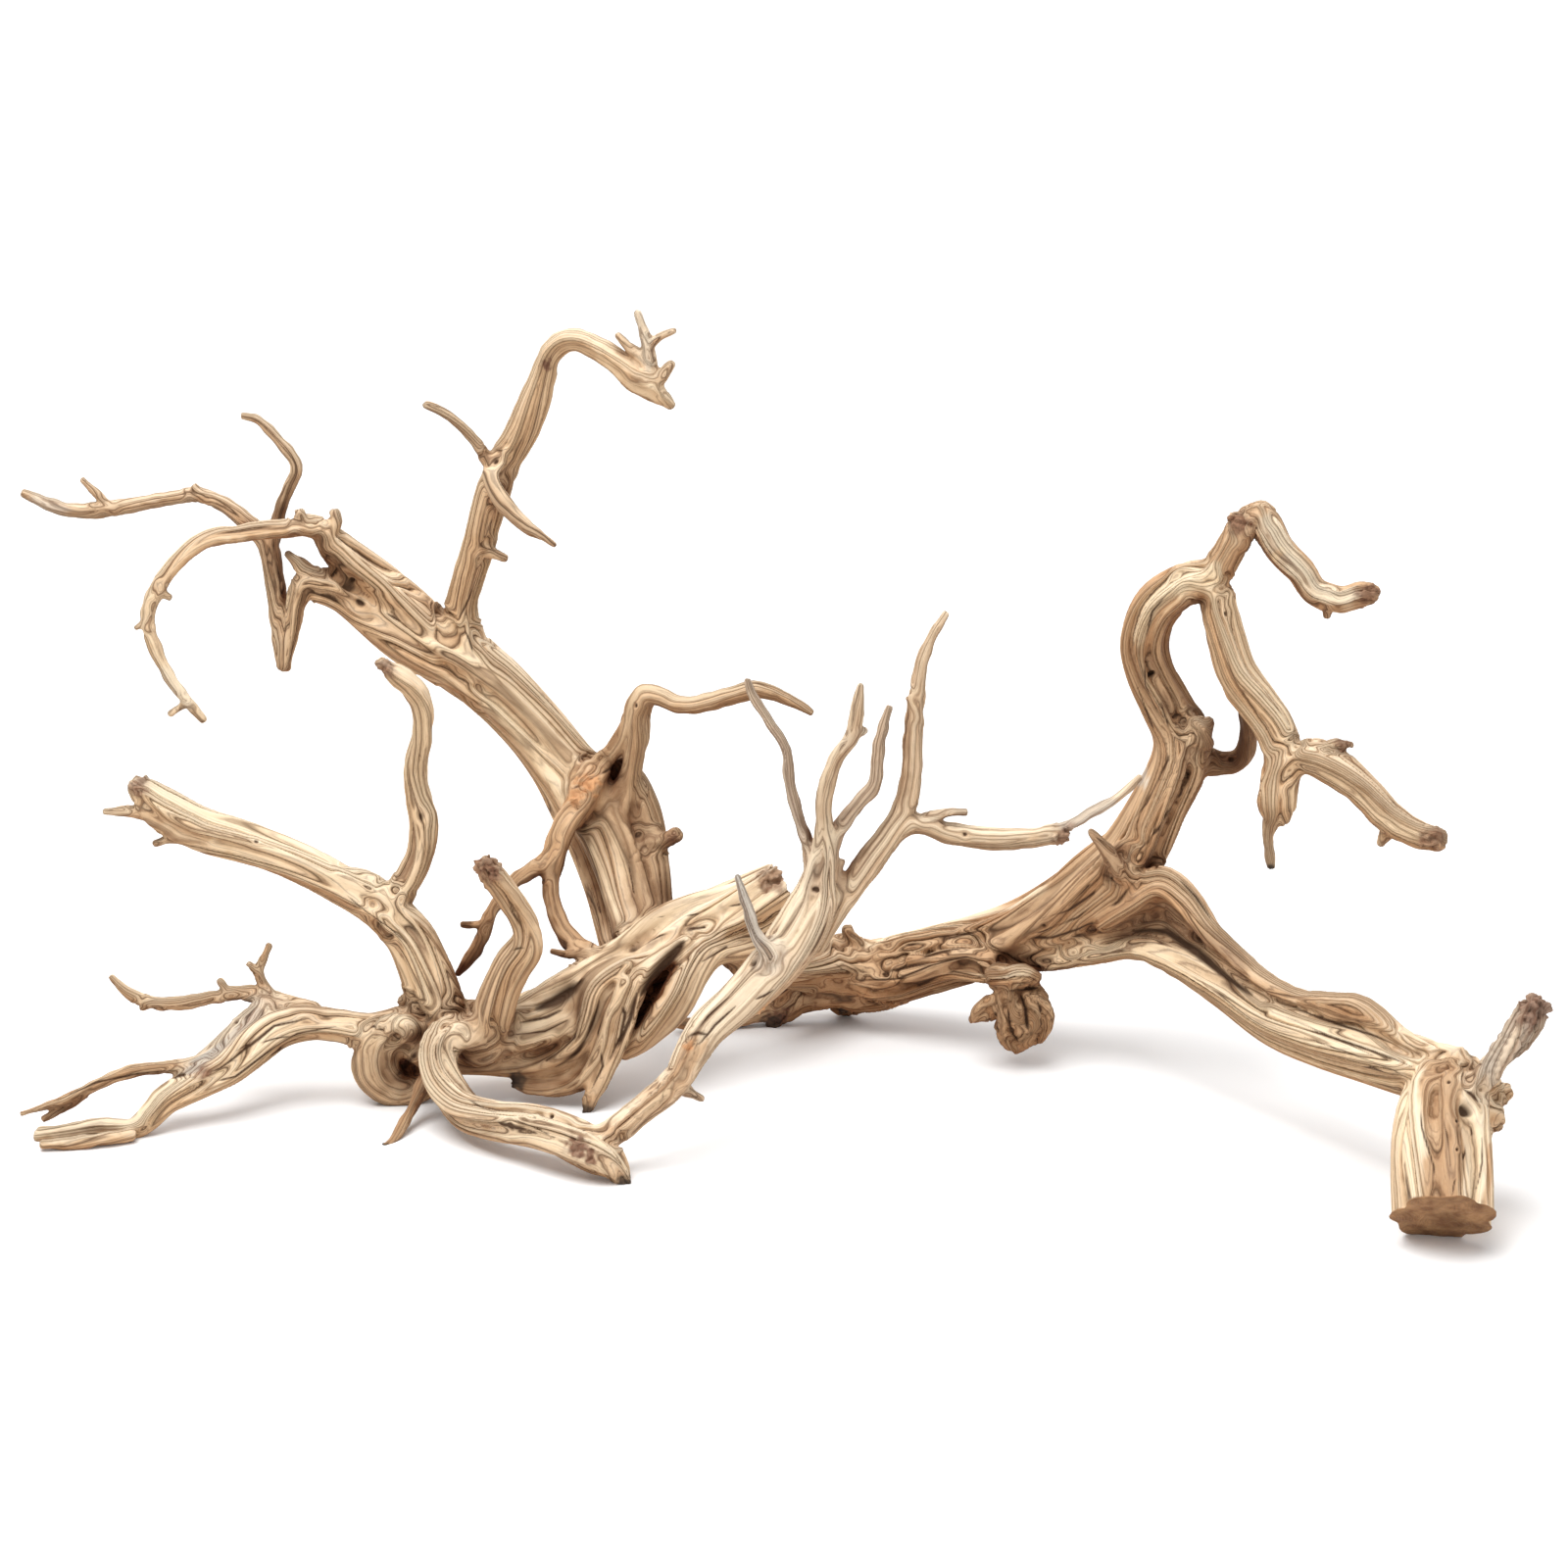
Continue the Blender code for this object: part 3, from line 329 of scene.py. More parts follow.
        (36, 1160, -24, 8),
    )),
    "left_branch_bare_strip": twig(
        (274, 1028, 38, 16), (249, 1045, 30, 13), (226, 1068, 22, 13), (206, 1085, 14, 12),
        (192, 1093, 10, 9),
    ),
    "second_finger": Limb(3, 0.1, 0.15, 0.7, (
        (212, 1084, 12, 14), (178, 1088, 9, 11), (135, 1093, 4, 11), (100, 1106, -2, 11),
        (72, 1120, -7, 10), (45, 1129, -11, 7), (22, 1137, -15, 4),
    )),
    "second_finger_fork": twig((86, 1116, -4, 8), (63, 1132, -8, 6), (43, 1142, -11, 4)),
    "upper_finger": Limb(3, 0.1, 0.15, 1, (
        (318, 1036, 42, 18), (285, 1024, 46, 13), (262, 1016, 48, 11), (237, 1014, 50, 9),
        (214, 1020, 51, 9), (190, 1024, 53, 9), (160, 1024, 55, 8), (135, 1016, 57, 8),
        (122, 1006, 58, 6), (113, 996, 60, 4),
    )),
    "upper_finger_spur_left": twig((158, 1023, 55, 6), (144, 1029, 55, 4)),
    "upper_finger_spur_top": twig((232, 1014, 50, 6), (224, 1000, 50, 4)),
    "finger_twig": twig(
        (279, 1022, 46, 9), (268, 1004, 50, 7), (264, 990, 51, 6), (270, 976, 52, 5),
        (275, 964, 53, 4),
    ),
    "finger_twig_fork": twig((264, 995, 51, 6), (253, 983, 51, 4)),
    "broken_branch": Limb(5, 0.14, 0.2, 1, (
        (462, 1058, 52, 36), (445, 1022, 52, 34), (434, 990, 55, 32), (418, 955, 59, 30),
        (392, 929, 62, 27), (352, 906, 64, 24), (300, 880, 66, 24), (250, 861, 66, 25),
        (203, 846, 64, 26), (166, 824, 62, 26), (146, 806, 60, 19), (136, 799, 60, 12),
    )),
    "broken_branch_lower_splinter": twig(
        (190, 842, 60, 14), (150, 830, 58, 9), (124, 827, 57, 7), (106, 828, 56, 4),
    ),
    "broken_branch_under_splinter": twig((200, 854, 60, 12), (175, 855, 58, 8), (157, 861, 57, 5)),
    "broken_branch_sliver": twig((405, 918, 62, 14), (376, 895, 62, 7), (347, 888, 62, 4)),
    "up_branch": Limb(4, 0.16, 0.3, 1, (
        (392, 932, 62, 24), (412, 903, 64, 18), (428, 872, 66, 16), (432, 838, 68, 17),
        (426, 808, 68, 15), (424, 783, 68, 15), (431, 750, 66, 14), (431, 720, 64, 14),
        (420, 700, 61, 14), (402, 686, 58, 12), (388, 674, 56, 6),
    )),
    "front_stub": Limb(4, 0.12, 0.15, 1, (
        (492, 1062, 34, 26), (502, 1034, 30, 25), (511, 1008, 30, 23), (523, 984, 30, 23),
        (537, 964, 29, 21), (536, 944, 28, 17), (525, 924, 26, 16), (512, 905, 24, 16),
        (500, 889, 22, 15), (493, 878, 21, 11),
    )),
    "serpent": Limb(5, 0.15, 0.3, 1, (
        (512, 1064, 44, 22), (492, 1058, 34, 24), (468, 1055, 24, 25), (451, 1066, 16, 24),
        (447, 1086, 8, 23), (455, 1110, -5, 24), (475, 1133, -26, 24), (508, 1144, -47, 24),
        (545, 1150, -62, 26), (580, 1163, -77, 27), (610, 1178, -88, 25), (628, 1192, -93, 17),
        (637, 1209, -94, 9),
    )),
    "serpent_knuckle": Limb(3, 0.1, 0.15, 1, (
        (468, 1050, 26, 20), (490, 1070, 30, 22), (504, 1062, 34, 18),
    )),
    "thin_prop": twig(
        (437, 1100, 18, 13), (424, 1124, 6, 8), (411, 1148, -14, 7), (400, 1165, -28, 5),
        (392, 1171, -32, 4),
    ),
    "slanting_branch": Limb(4, 0.14, 0.35, 1, (
        (598, 1168, -80, 20), (622, 1158, -78, 16), (656, 1131, -70, 16), (688, 1104, -60, 17),
        (704, 1078, -53, 20), (722, 1050, -46, 24), (752, 1024, -36, 28), (786, 990, -22, 31),
        (814, 955, -10, 33), (832, 921, 0, 30), (838, 893, 2, 22), (842, 866, 2, 17),
        (841, 838, -2, 10), (841, 812, -8, 10), (853, 774, -16, 9), (869, 752, -20, 9),
        (875, 721, -24, 8), (878, 698, -26, 5),
    )),
    "slanting_stub": twig((692, 1106, -58, 12), (706, 1116, -58, 7), (717, 1122, -58, 5)),
    "slanting_grey_twig": twig(
        (786, 978, -30, 14), (771, 953, -28, 8), (762, 925, -25, 7), (752, 893, -22, 4),
    ),
    "crown_left_twig": twig(
        (834, 898, 4, 14), (827, 868, 8, 9), (816, 839, 12, 7), (806, 800, 18, 7),
        (802, 765, 22, 6), (785, 737, 27, 6), (768, 710, 31, 6), (762, 693, 33, 4),
    ),
    "crown_middle_spur": twig((866, 755, -19, 6), (883, 744, -19, 4)),
    "crown_right_twig": Limb(3, 0.1, 0.15, 1, (
        (838, 890, 4, 16), (851, 856, 8, 12), (865, 834, 10, 10), (880, 816, 12, 9),
        (893, 798, 14, 9), (896, 764, 17, 8), (901, 742, 19, 7), (907, 721, 21, 4),
    )),
    "crown_spike": twig((850, 900, 6, 10), (855, 888, 7, 6), (860, 878, 8, 4)),
    "long_arm": Limb(4, 0.12, 0.15, 1, (
        (822, 962, -4, 26), (840, 940, 2, 22), (862, 914, 8, 18), (888, 878, 14, 19),
        (908, 851, 18, 17), (922, 826, 22, 15), (929, 796, 25, 13), (931, 764, 28, 12),
        (933, 730, 31, 11), (936, 704, 33, 9), (941, 674, 35, 8), (952, 647, 37, 6),
        (966, 625, 38, 4),
    )),
    "long_arm_spur": twig((934, 722, 31, 9), (926, 712, 31, 5)),
    "right_arm": Limb(3, 0.12, 0.15, 0.8, (
        (905, 862, 17, 14), (925, 842, 20, 16), (945, 842, 21, 15), (970, 850, 23, 16),
        (1014, 855, 26, 17), (1048, 854, 28, 15), (1070, 852, 28, 13), (1088, 853, 28, 7),
    )),
    "right_arm_thin_end": twig(
        (1066, 848, 28, 9), (1090, 842, 30, 7), (1112, 829, 33, 7), (1135, 817, 36, 7),
        (1150, 806, 38, 6), (1164, 792, 40, 4),
    ),
    "right_arm_sliver": twig((945, 836, 22, 9), (966, 829, 22, 6), (986, 829, 22, 4)),
    "right_root": Limb(4, 0.16, 0.15, 1, (
        (890, 995, 188, 36), (848, 1002, 190, 36), (805, 1018, 188, 24), (762, 1036, 182, 14),
        (724, 1046, 176, 10), (690, 1044, 170, 7),
    )),
    "right_root_tip": Limb(3, 0.2, 0.15, 1, (
        (822, 1012, 186, 22), (802, 1034, 184, 14), (787, 1049, 183, 9),
    )),
    "right_lump": Limb(3, 0.1, 0.15, 1, (
        (880, 1005, 192, 34), (862, 1022, 200, 22), (856, 1028, 204, 15),
    )),
    "right_nub": twig((872, 965, 184, 14), (864, 946, 180, 7)),
    "right_body": Limb(7, 0.14, 0.5, 1, (
        (848, 995, 190, 40), (880, 996, 189, 43), (930, 986, 178, 44), (985, 972, 162, 43),
        (1040, 955, 146, 44), (1085, 930, 132, 46), (1125, 900, 120, 48), (1158, 868, 114, 42),
        (1184, 820, 114, 35), (1204, 778, 119, 35), (1204, 748, 123, 33), (1189, 718, 125, 31),
        (1172, 682, 125, 29), (1167, 651, 122, 29), (1180, 618, 116, 28), (1208, 597, 111, 26),
        (1234, 588, 107, 23), (1250, 570, 104, 20), (1262, 550, 102, 19), (1272, 533, 100, 17),
        (1286, 523, 98, 15), (1294, 537, 96, 19), (1306, 560, 92, 19), (1328, 583, 87, 18),
        (1342, 603, 83, 17), (1368, 612, 78, 17), (1392, 606, 74, 16), (1404, 607, 72, 12),
    )),
    "top_knob": Limb(3, 0.2, 0.15, 1, (
        (1272, 540, 100, 16), (1264, 531, 99, 13), (1256, 525, 99, 7),
    )),
    "top_point": twig((1286, 528, 97, 13), (1293, 514, 96, 7)),
    "top_end_nub": twig((1358, 612, 80, 10), (1354, 630, 79, 5)),
    "neck_knot": Limb(3, 0.1, 0.15, 1, ((1222, 752, 112, 22), (1228, 738, 104, 14))),
    "horn": Limb(3, 0.15, 0.15, 1, (
        (1160, 905, 96, 16), (1143, 889, 90, 13), (1130, 869, 86, 9), (1119, 855, 84, 7),
        (1112, 848, 83, 5),
    )),
    "down_branch": Limb(4, 0.15, 0.2, 1, (
        (1222, 590, 108, 22), (1240, 605, 103, 21), (1246, 628, 99, 21), (1253, 655, 95, 22),
        (1263, 688, 91, 24), (1284, 718, 85, 24), (1301, 744, 79, 24), (1308, 771, 75, 24),
        (1306, 800, 72, 26), (1303, 822, 70, 26), (1303, 836, 69, 18),
    )),
    "down_branch_spike": twig((1300, 830, 69, 14), (1294, 852, 68, 8), (1297, 885, 68, 6)),
    "side_arm": Limb(4, 0.14, 0.15, 1, (
        (1303, 790, 75, 22), (1331, 772, 66, 20), (1357, 780, 58, 22), (1389, 804, 48, 19),
        (1418, 834, 39, 19), (1445, 850, 33, 18), (1463, 855, 30, 17), (1472, 857, 28, 14),
    )),
    "side_arm_spur": twig((1345, 772, 62, 10), (1360, 759, 61, 7), (1379, 761, 61, 5)),
    "side_arm_nub": twig((1420, 842, 40, 11), (1408, 862, 39, 5)),
    "back_loop": Limb(3, 0.15, 0.15, 1, (
        (1222, 778, 126, 20), (1248, 780, 131, 15), (1268, 774, 129, 13), (1274, 750, 122, 11),
        (1272, 728, 112, 11), (1266, 705, 98, 11),
    )),
    "knob_branch": Limb(5, 0.24, 0.1, 1, (
        (935, 985, 160, 24), (975, 984, 144, 20), (1008, 990, 130, 19), (1030, 1000, 120, 20),
        (1040, 1018, 114, 26), (1042, 1040, 112, 30), (1036, 1058, 111, 26), (1032, 1068, 111, 16),
    )),
    "knob_fold_right": Limb(3, 0.2, 0.15, 1, (
        (1030, 1002, 116, 16), (1050, 1004, 112, 14), (1060, 1022, 110, 14), (1062, 1040, 110, 13),
        (1052, 1060, 110, 10),
    )),
    "knob_fold_left": Limb(2, 0.2, 0.15, 1, (
        (1028, 1020, 112, 14), (1012, 1034, 110, 13), (1000, 1038, 110, 9), (992, 1041, 110, 5),
    )),
    "leg_under_strand": Limb(5, 0.13, 0.15, 1, (
        (1010, 975, 144, 22), (1060, 978, 126, 19), (1110, 972, 106, 16), (1158, 966, 88, 16),
        (1200, 978, 66, 21), (1250, 1006, 34, 27), (1300, 1040, -2, 31), (1350, 1060, -40, 34),
        (1400, 1076, -78, 35), (1440, 1088, -106, 36), (1478, 1100, -131, 36),
        (1504, 1112, -142, 28),
    )),
    "leg_upper_strand": Limb(4, 0.18, 0.15, 1, (
        (1128, 935, 104, 28), (1158, 918, 92, 26), (1188, 902, 80, 22), (1213, 920, 66, 20),
        (1234, 950, 48, 17), (1262, 977, 26, 15), (1292, 1003, 2, 14), (1326, 1020, -24, 13),
        (1360, 1026, -50, 16), (1390, 1030, -72, 16), (1418, 1050, -94, 13), (1450, 1070, -118, 13),
        (1490, 1078, -136, 12),
    )),
    "sawn_block": Limb(7, 0.1, 0.05, 1, (
        (1488, 1092, -118, 34), (1478, 1112, -136, 48), (1473, 1150, -157, 55),
        (1473, 1200, -180, 58), (1473, 1251, -202, 57),
    )),
    "block_back_lump": Limb(3, 0.2, 0.15, 1, (
        (1506, 1108, -138, 26), (1528, 1116, -132, 16), (1541, 1112, -130, 9),
    )),
    "block_side_lump": Limb(3, 0.2, 0.15, 1, (
        (1506, 1128, -144, 24), (1524, 1142, -142, 16), (1531, 1146, -142, 10),
    )),
    "block_stub": Limb(4, 0.24, 0.4, 1, (
        (1495, 1130, -158, 18), (1508, 1108, -156, 15), (1524, 1084, -152, 16),
        (1547, 1058, -148, 17), (1562, 1036, -146, 18), (1570, 1022, -145, 14),
    )),
    "body_strand_left": Limb(3, 0.14, 0.1, 1, (
        (848, 962, 184, 12), (864, 976, 174, 14), (884, 990, 171, 16), (910, 996, 162, 17),
        (938, 990, 150, 15), (965, 978, 142, 15), (990, 974, 134, 14), (1012, 984, 124, 13),
    )),
    "body_strand_top": Limb(3, 0.14, 0.1, 1, (
        (878, 980, 188, 12), (905, 970, 176, 14), (940, 962, 161, 15), (975, 960, 151, 15),
        (1012, 960, 146, 12),
    )),
    "body_strand_low": Limb(3, 0.14, 0.1, 1, (
        (846, 990, 180, 12), (868, 1004, 170, 14), (895, 1011, 164, 14), (925, 1007, 160, 15),
        (950, 997, 152, 16), (978, 989, 142, 16), (1004, 992, 131, 14),
    )),
    "burl_roll_outer": Limb(2, 0.1, 0.1, 1, (
        (428, 1062, 40, 9), (427, 1051, 32, 9), (413, 1040, 31, 9), (393, 1045, 30, 9),
        (379, 1060, 31, 9), (371, 1080, 32, 10), (374, 1099, 33, 10), (388, 1113, 36, 10),
        (406, 1117, 40, 10), (426, 1110, 44, 9),
    )),
    "burl_roll_middle": Limb(2, 0.1, 0.1, 1, (
        (419, 1062, 34, 8), (421, 1052, 30, 8), (412, 1046, 28, 8), (399, 1050, 28, 8),
        (389, 1062, 29, 8), (384, 1080, 31, 8), (388, 1097, 33, 8), (399, 1106, 37, 8),
        (414, 1107, 42, 8),
    )),
    "burl_roll_core": Limb(2, 0.1, 0.1, 1, (
        (409, 1050, 27, 7), (414, 1057, 28, 7), (407, 1063, 30, 7), (399, 1070, 33, 8),
        (396, 1083, 36, 8), (399, 1094, 38, 8), (408, 1101, 42, 8),
    )),
    "left_tip_low": Limb(2, 0.12, 0.1, 1, (
        (136, 1158, -28, 9), (100, 1163, -36, 9), (70, 1167, -40, 9), (42, 1167, -43, 7),
    )),
    "left_tip_high": Limb(2, 0.12, 0.1, 1, (
        (136, 1150, -19, 9), (104, 1147, -21, 7), (72, 1151, -22, 7), (40, 1155, -24, 6),
    )),
    "burl_back": Limb(2, 0.1, 0.1, 1, (
        (446, 1070, 60, 18), (420, 1082, 60, 24), (398, 1092, 56, 20),
    )),
    "burl_inner_roll": Limb(3, 0.12, 0.1, 1, (
        (414, 1058, 40, 14), (401, 1066, 41, 15), (396, 1082, 42, 16), (403, 1099, 44, 15),
        (416, 1106, 45, 12),
    )),
    "leg_web": Limb(2, 0.1, 0.1, 1, (
        (1100, 958, 114, 18), (1130, 950, 108, 20), (1160, 944, 100, 22), (1192, 942, 87, 22),
        (1220, 962, 66, 20), (1244, 980, 46, 18), (1270, 1000, 24, 15), (1296, 1018, 0, 12),
    )),
    "leg_web_top": Limb(2, 0.1, 0.1, 1, (
        (1150, 925, 104, 18), (1176, 920, 94, 18), (1200, 926, 80, 18), (1222, 946, 64, 16),
    )),
    "trunk_back": Limb(3, 0.1, 0.1, 1, (
        (696, 972, 98, 20), (668, 1004, 84, 20), (648, 1036, 70, 18), (632, 1064, 60, 14),
    )),
    "rear_stub_end": Limb(2, 0.1, 0.1, 1, (
        (662, 862, 150, 14), (682, 856, 146, 10), (692, 850, 144, 9),
    )),
    "knob_hood": Limb(3, 0.15, 0.1, 1, (
        (1014, 996, 112, 17), (1030, 998, 106, 18), (1046, 995, 104, 15), (1060, 999, 103, 8),
    )),
    "knob_fold_outer": Limb(2, 0.1, 0.1, 1, (
        (1050, 1012, 104, 8), (1064, 1024, 102, 8), (1069, 1040, 102, 8), (1063, 1056, 103, 8),
        (1050, 1064, 104, 7),
    )),
    "knob_fold_middle": Limb(2, 0.1, 0.1, 1, (
        (1046, 1014, 101, 7), (1056, 1030, 98, 7), (1057, 1046, 98, 7), (1049, 1056, 99, 7),
        (1040, 1060, 101, 6),
    )),
    "knob_fold_inner": Limb(2, 0.1, 0.1, 1, (
        (1030, 1012, 102, 8), (1036, 1030, 96, 8), (1038, 1046, 96, 8), (1044, 1062, 99, 7),
    )),
    "knob_fold_low": Limb(2, 0.1, 0.1, 1, (
        (1018, 1022, 106, 8), (1023, 1040, 100, 8), (1024, 1058, 101, 8), (1034, 1070, 106, 7),
    )),
    "knob_fold_crest": Limb(2, 0.1, 0.1, 1, (
        (1022, 1016, 108, 8), (1006, 1024, 107, 8), (996, 1034, 108, 7), (991, 1042, 109, 5),
    )),
}

# How a limb's colour departs from plain tan, as four shares: pale is cream, warm is
# orange-brown, dark is umber, and silver is the grey of long sun-whitened wood
TINTS = {
    "rear_trunk": (0.2, 0.12, 0.06, 0.0), "rear_trunk_dark_side": (0.0, 0.2, 0.75, 0.0),
    "rear_trunk_stub": (0.0, 0.2, 0.6, 0.0), "arch_branch": (0.25, 0.25, 0.1, 0.0),
    "hump_branch": (0.35, 0.2, 0.15, 0.0), "hairpin_stem": (0.3, 0.25, 0.1, 0.1),
    "hairpin_right_arm": (0.3, 0.25, 0.1, 0.1), "upright_branch": (0.4, 0.2, 0.05, 0.0),
    "upright_left_twig": (0.1, 0.3, 0.3, 0.1), "upright_blade": (0.3, 0.2, 0.15, 0.1),
    "crotch_left_strand": (0.0, 0.4, 0.6, 0.0), "right_twig_branch": (0.15, 0.4, 0.25, 0.0),
    "pale_strand": (0.1, 0.7, 0.15, 0.0), "pale_strand_left": (0.0, 0.7, 0.3, 0.0),
    "pale_strand_twig": (0.0, 0.7, 0.3, 0.0), "pointed_stub": (0.0, 0.6, 0.5, 0.0),
    "trunk_core": (0.55, 0.1, 0.0, 0.0), "trunk_top_ridge": (0.7, 0.1, 0.0, 0.0),
    "trunk_right_strand": (0.3, 0.2, 0.1, 0.0), "trunk_under_strand": (0.1, 0.2, 0.4, 0.0),
    "trunk_spike_strand": (0.2, 0.3, 0.2, 0.0), "trunk_belly_strand": (0.3, 0.2, 0.1, 0.0),
    "trunk_hook": (0.2, 0.3, 0.2, 0.0), "burl": (0.5, 0.1, 0.05, 0.1),
    "burl_heart": (0.5, 0.1, 0.1, 0.1), "left_branch": (0.65, 0.05, 0.0, 0.0),
    "left_branch_bare_strip": (0.1, 0.0, 0.1, 0.8), "second_finger": (0.1, 0.6, 0.3, 0.0),
    "second_finger_fork": (0.1, 0.6, 0.3, 0.0), "upper_finger": (0.2, 0.5, 0.2, 0.0),
    "finger_twig": (0.1, 0.6, 0.2, 0.0), "broken_branch": (0.6, 0.1, 0.0, 0.0),
    "up_branch": (0.5, 0.15, 0.0, 0.0), "front_stub": (0.2, 0.35, 0.15, 0.0),
    "serpent": (0.4, 0.15, 0.05, 0.1), "serpent_knuckle": (0.2, 0.2, 0.2, 0.1),
    "thin_prop": (0.0, 0.6, 0.4, 0.0), "slanting_branch": (0.55, 0.0, 0.0, 0.25),
    "slanting_stub": (0.2, 0.2, 0.2, 0.2), "slanting_grey_twig": (0.2, 0.0, 0.0, 0.9),
    "crown_left_twig": (0.1, 0.3, 0.2, 0.5), "crown_middle_spur": (0.3, 0.0, 0.0, 0.6),
    "crown_right_twig": (0.2, 0.2, 0.1, 0.4), "long_arm": (0.4, 0.2, 0.0, 0.2),
    "long_arm_spur": (0.2, 0.3, 0.2, 0.1), "right_arm": (0.55, 0.1, 0.0, 0.15),
    "right_arm_thin_end": (0.4, 0.1, 0.0, 0.3), "right_arm_sliver": (0.3, 0.1, 0.1, 0.4),
    "right_root": (0.0, 0.7, 0.45, 0.0), "right_root_tip": (0.0, 0.9, 0.5, 0.0),
    "right_lump": (0.0, 0.7, 0.4, 0.0), "right_nub": (0.0, 0.6, 0.3, 0.0),
    "right_body": (0.0, 0.72, 0.24, 0.0), "body_strand_left": (0.0, 0.75, 0.25, 0.0),
    "body_strand_top": (0.0, 0.72, 0.22, 0.0), "body_strand_low": (0.0, 0.75, 0.25, 0.0),
    "burl_roll_outer": (0.45, 0.1, 0.05, 0.1), "burl_roll_middle": (0.45, 0.1, 0.05, 0.1),
    "burl_roll_core": (0.4, 0.1, 0.1, 0.1), "left_tip_low": (0.4, 0.2, 0.1, 0.0),
    "left_tip_high": (0.4, 0.2, 0.1, 0.0), "knob_hood": (0.0, 0.75, 0.35, 0.0),
    "knob_fold_outer": (0.0, 0.75, 0.25, 0.0), "knob_fold_middle": (0.0, 0.7, 0.3, 0.0),
    "knob_fold_inner": (0.0, 0.7, 0.3, 0.0), "knob_fold_low": (0.0, 0.75, 0.3, 0.0),
    "knob_fold_crest": (0.0, 0.75, 0.3, 0.0), "leg_web": (0.0, 0.4, 0.5, 0.0),
    "leg_web_top": (0.0, 0.5, 0.4, 0.0), "trunk_back": (0.1, 0.2, 0.5, 0.0),
    "burl_inner_roll": (0.5, 0.1, 0.1, 0.0), "burl_back": (0.2, 0.2, 0.3, 0.0),
    "rear_stub_end": (0.0, 0.3, 0.6, 0.0), "horn": (0.1, 0.6, 0.3, 0.1),
    "down_branch": (0.35, 0.3, 0.05, 0.0), "side_arm": (0.3, 0.35, 0.1, 0.0),
    "back_loop": (0.0, 0.5, 0.5, 0.0), "knob_branch": (0.0, 0.7, 0.3, 0.0),
    "knob_fold_right": (0.0, 0.75, 0.25, 0.0), "knob_fold_left": (0.0, 0.6, 0.4, 0.0),
    "leg_under_strand": (0.8, 0.0, 0.0, 0.0), "leg_upper_strand": (0.15, 0.5, 0.15, 0.0),
    "sawn_block": (0.6, 0.15, 0.0, 0.0), "block_back_lump": (0.2, 0.4, 0.1, 0.0),
    "block_stub": (0.1, 0.1, 0.1, 0.6),
}
PLAIN_TINT = (0.25, 0.3, 0.15, 0.1)

# Knot holes and pits seen from the front: column, row, radius and depth
KNOT_HOLES = (
    (368, 615, 3.6, 3.0), (358, 595, 2.2, 2.5), (545, 1138, 1.6, 2.5), (562, 1137, 1.6, 2.5),
    (520, 1150, 3.2, 1.6), (766, 980, 2.0, 2.4), (240, 1042, 1.5, 2.0), (1065, 946, 1.4, 2.2),
    (1498, 1132, 4.2, 5.0), (1488, 1143, 1.2, 1.0), (1478, 1103, 1.5, 0.7), (1488, 1172, 1.3, 1.2),
    (832, 908, 2.0, 1.2), (431, 834, 3.0, 2.6), (262, 858, 1.6, 1.4), (1252, 626, 1.4, 1.4),
    (1328, 838, 1.5, 1.4), (985, 851, 1.6, 1.2), (1175, 690, 1.6, 1.6), (1256, 775, 1.8, 2.0),
    (648, 720, 1.6, 1.6), (505, 470, 2.0, 1.6),
)

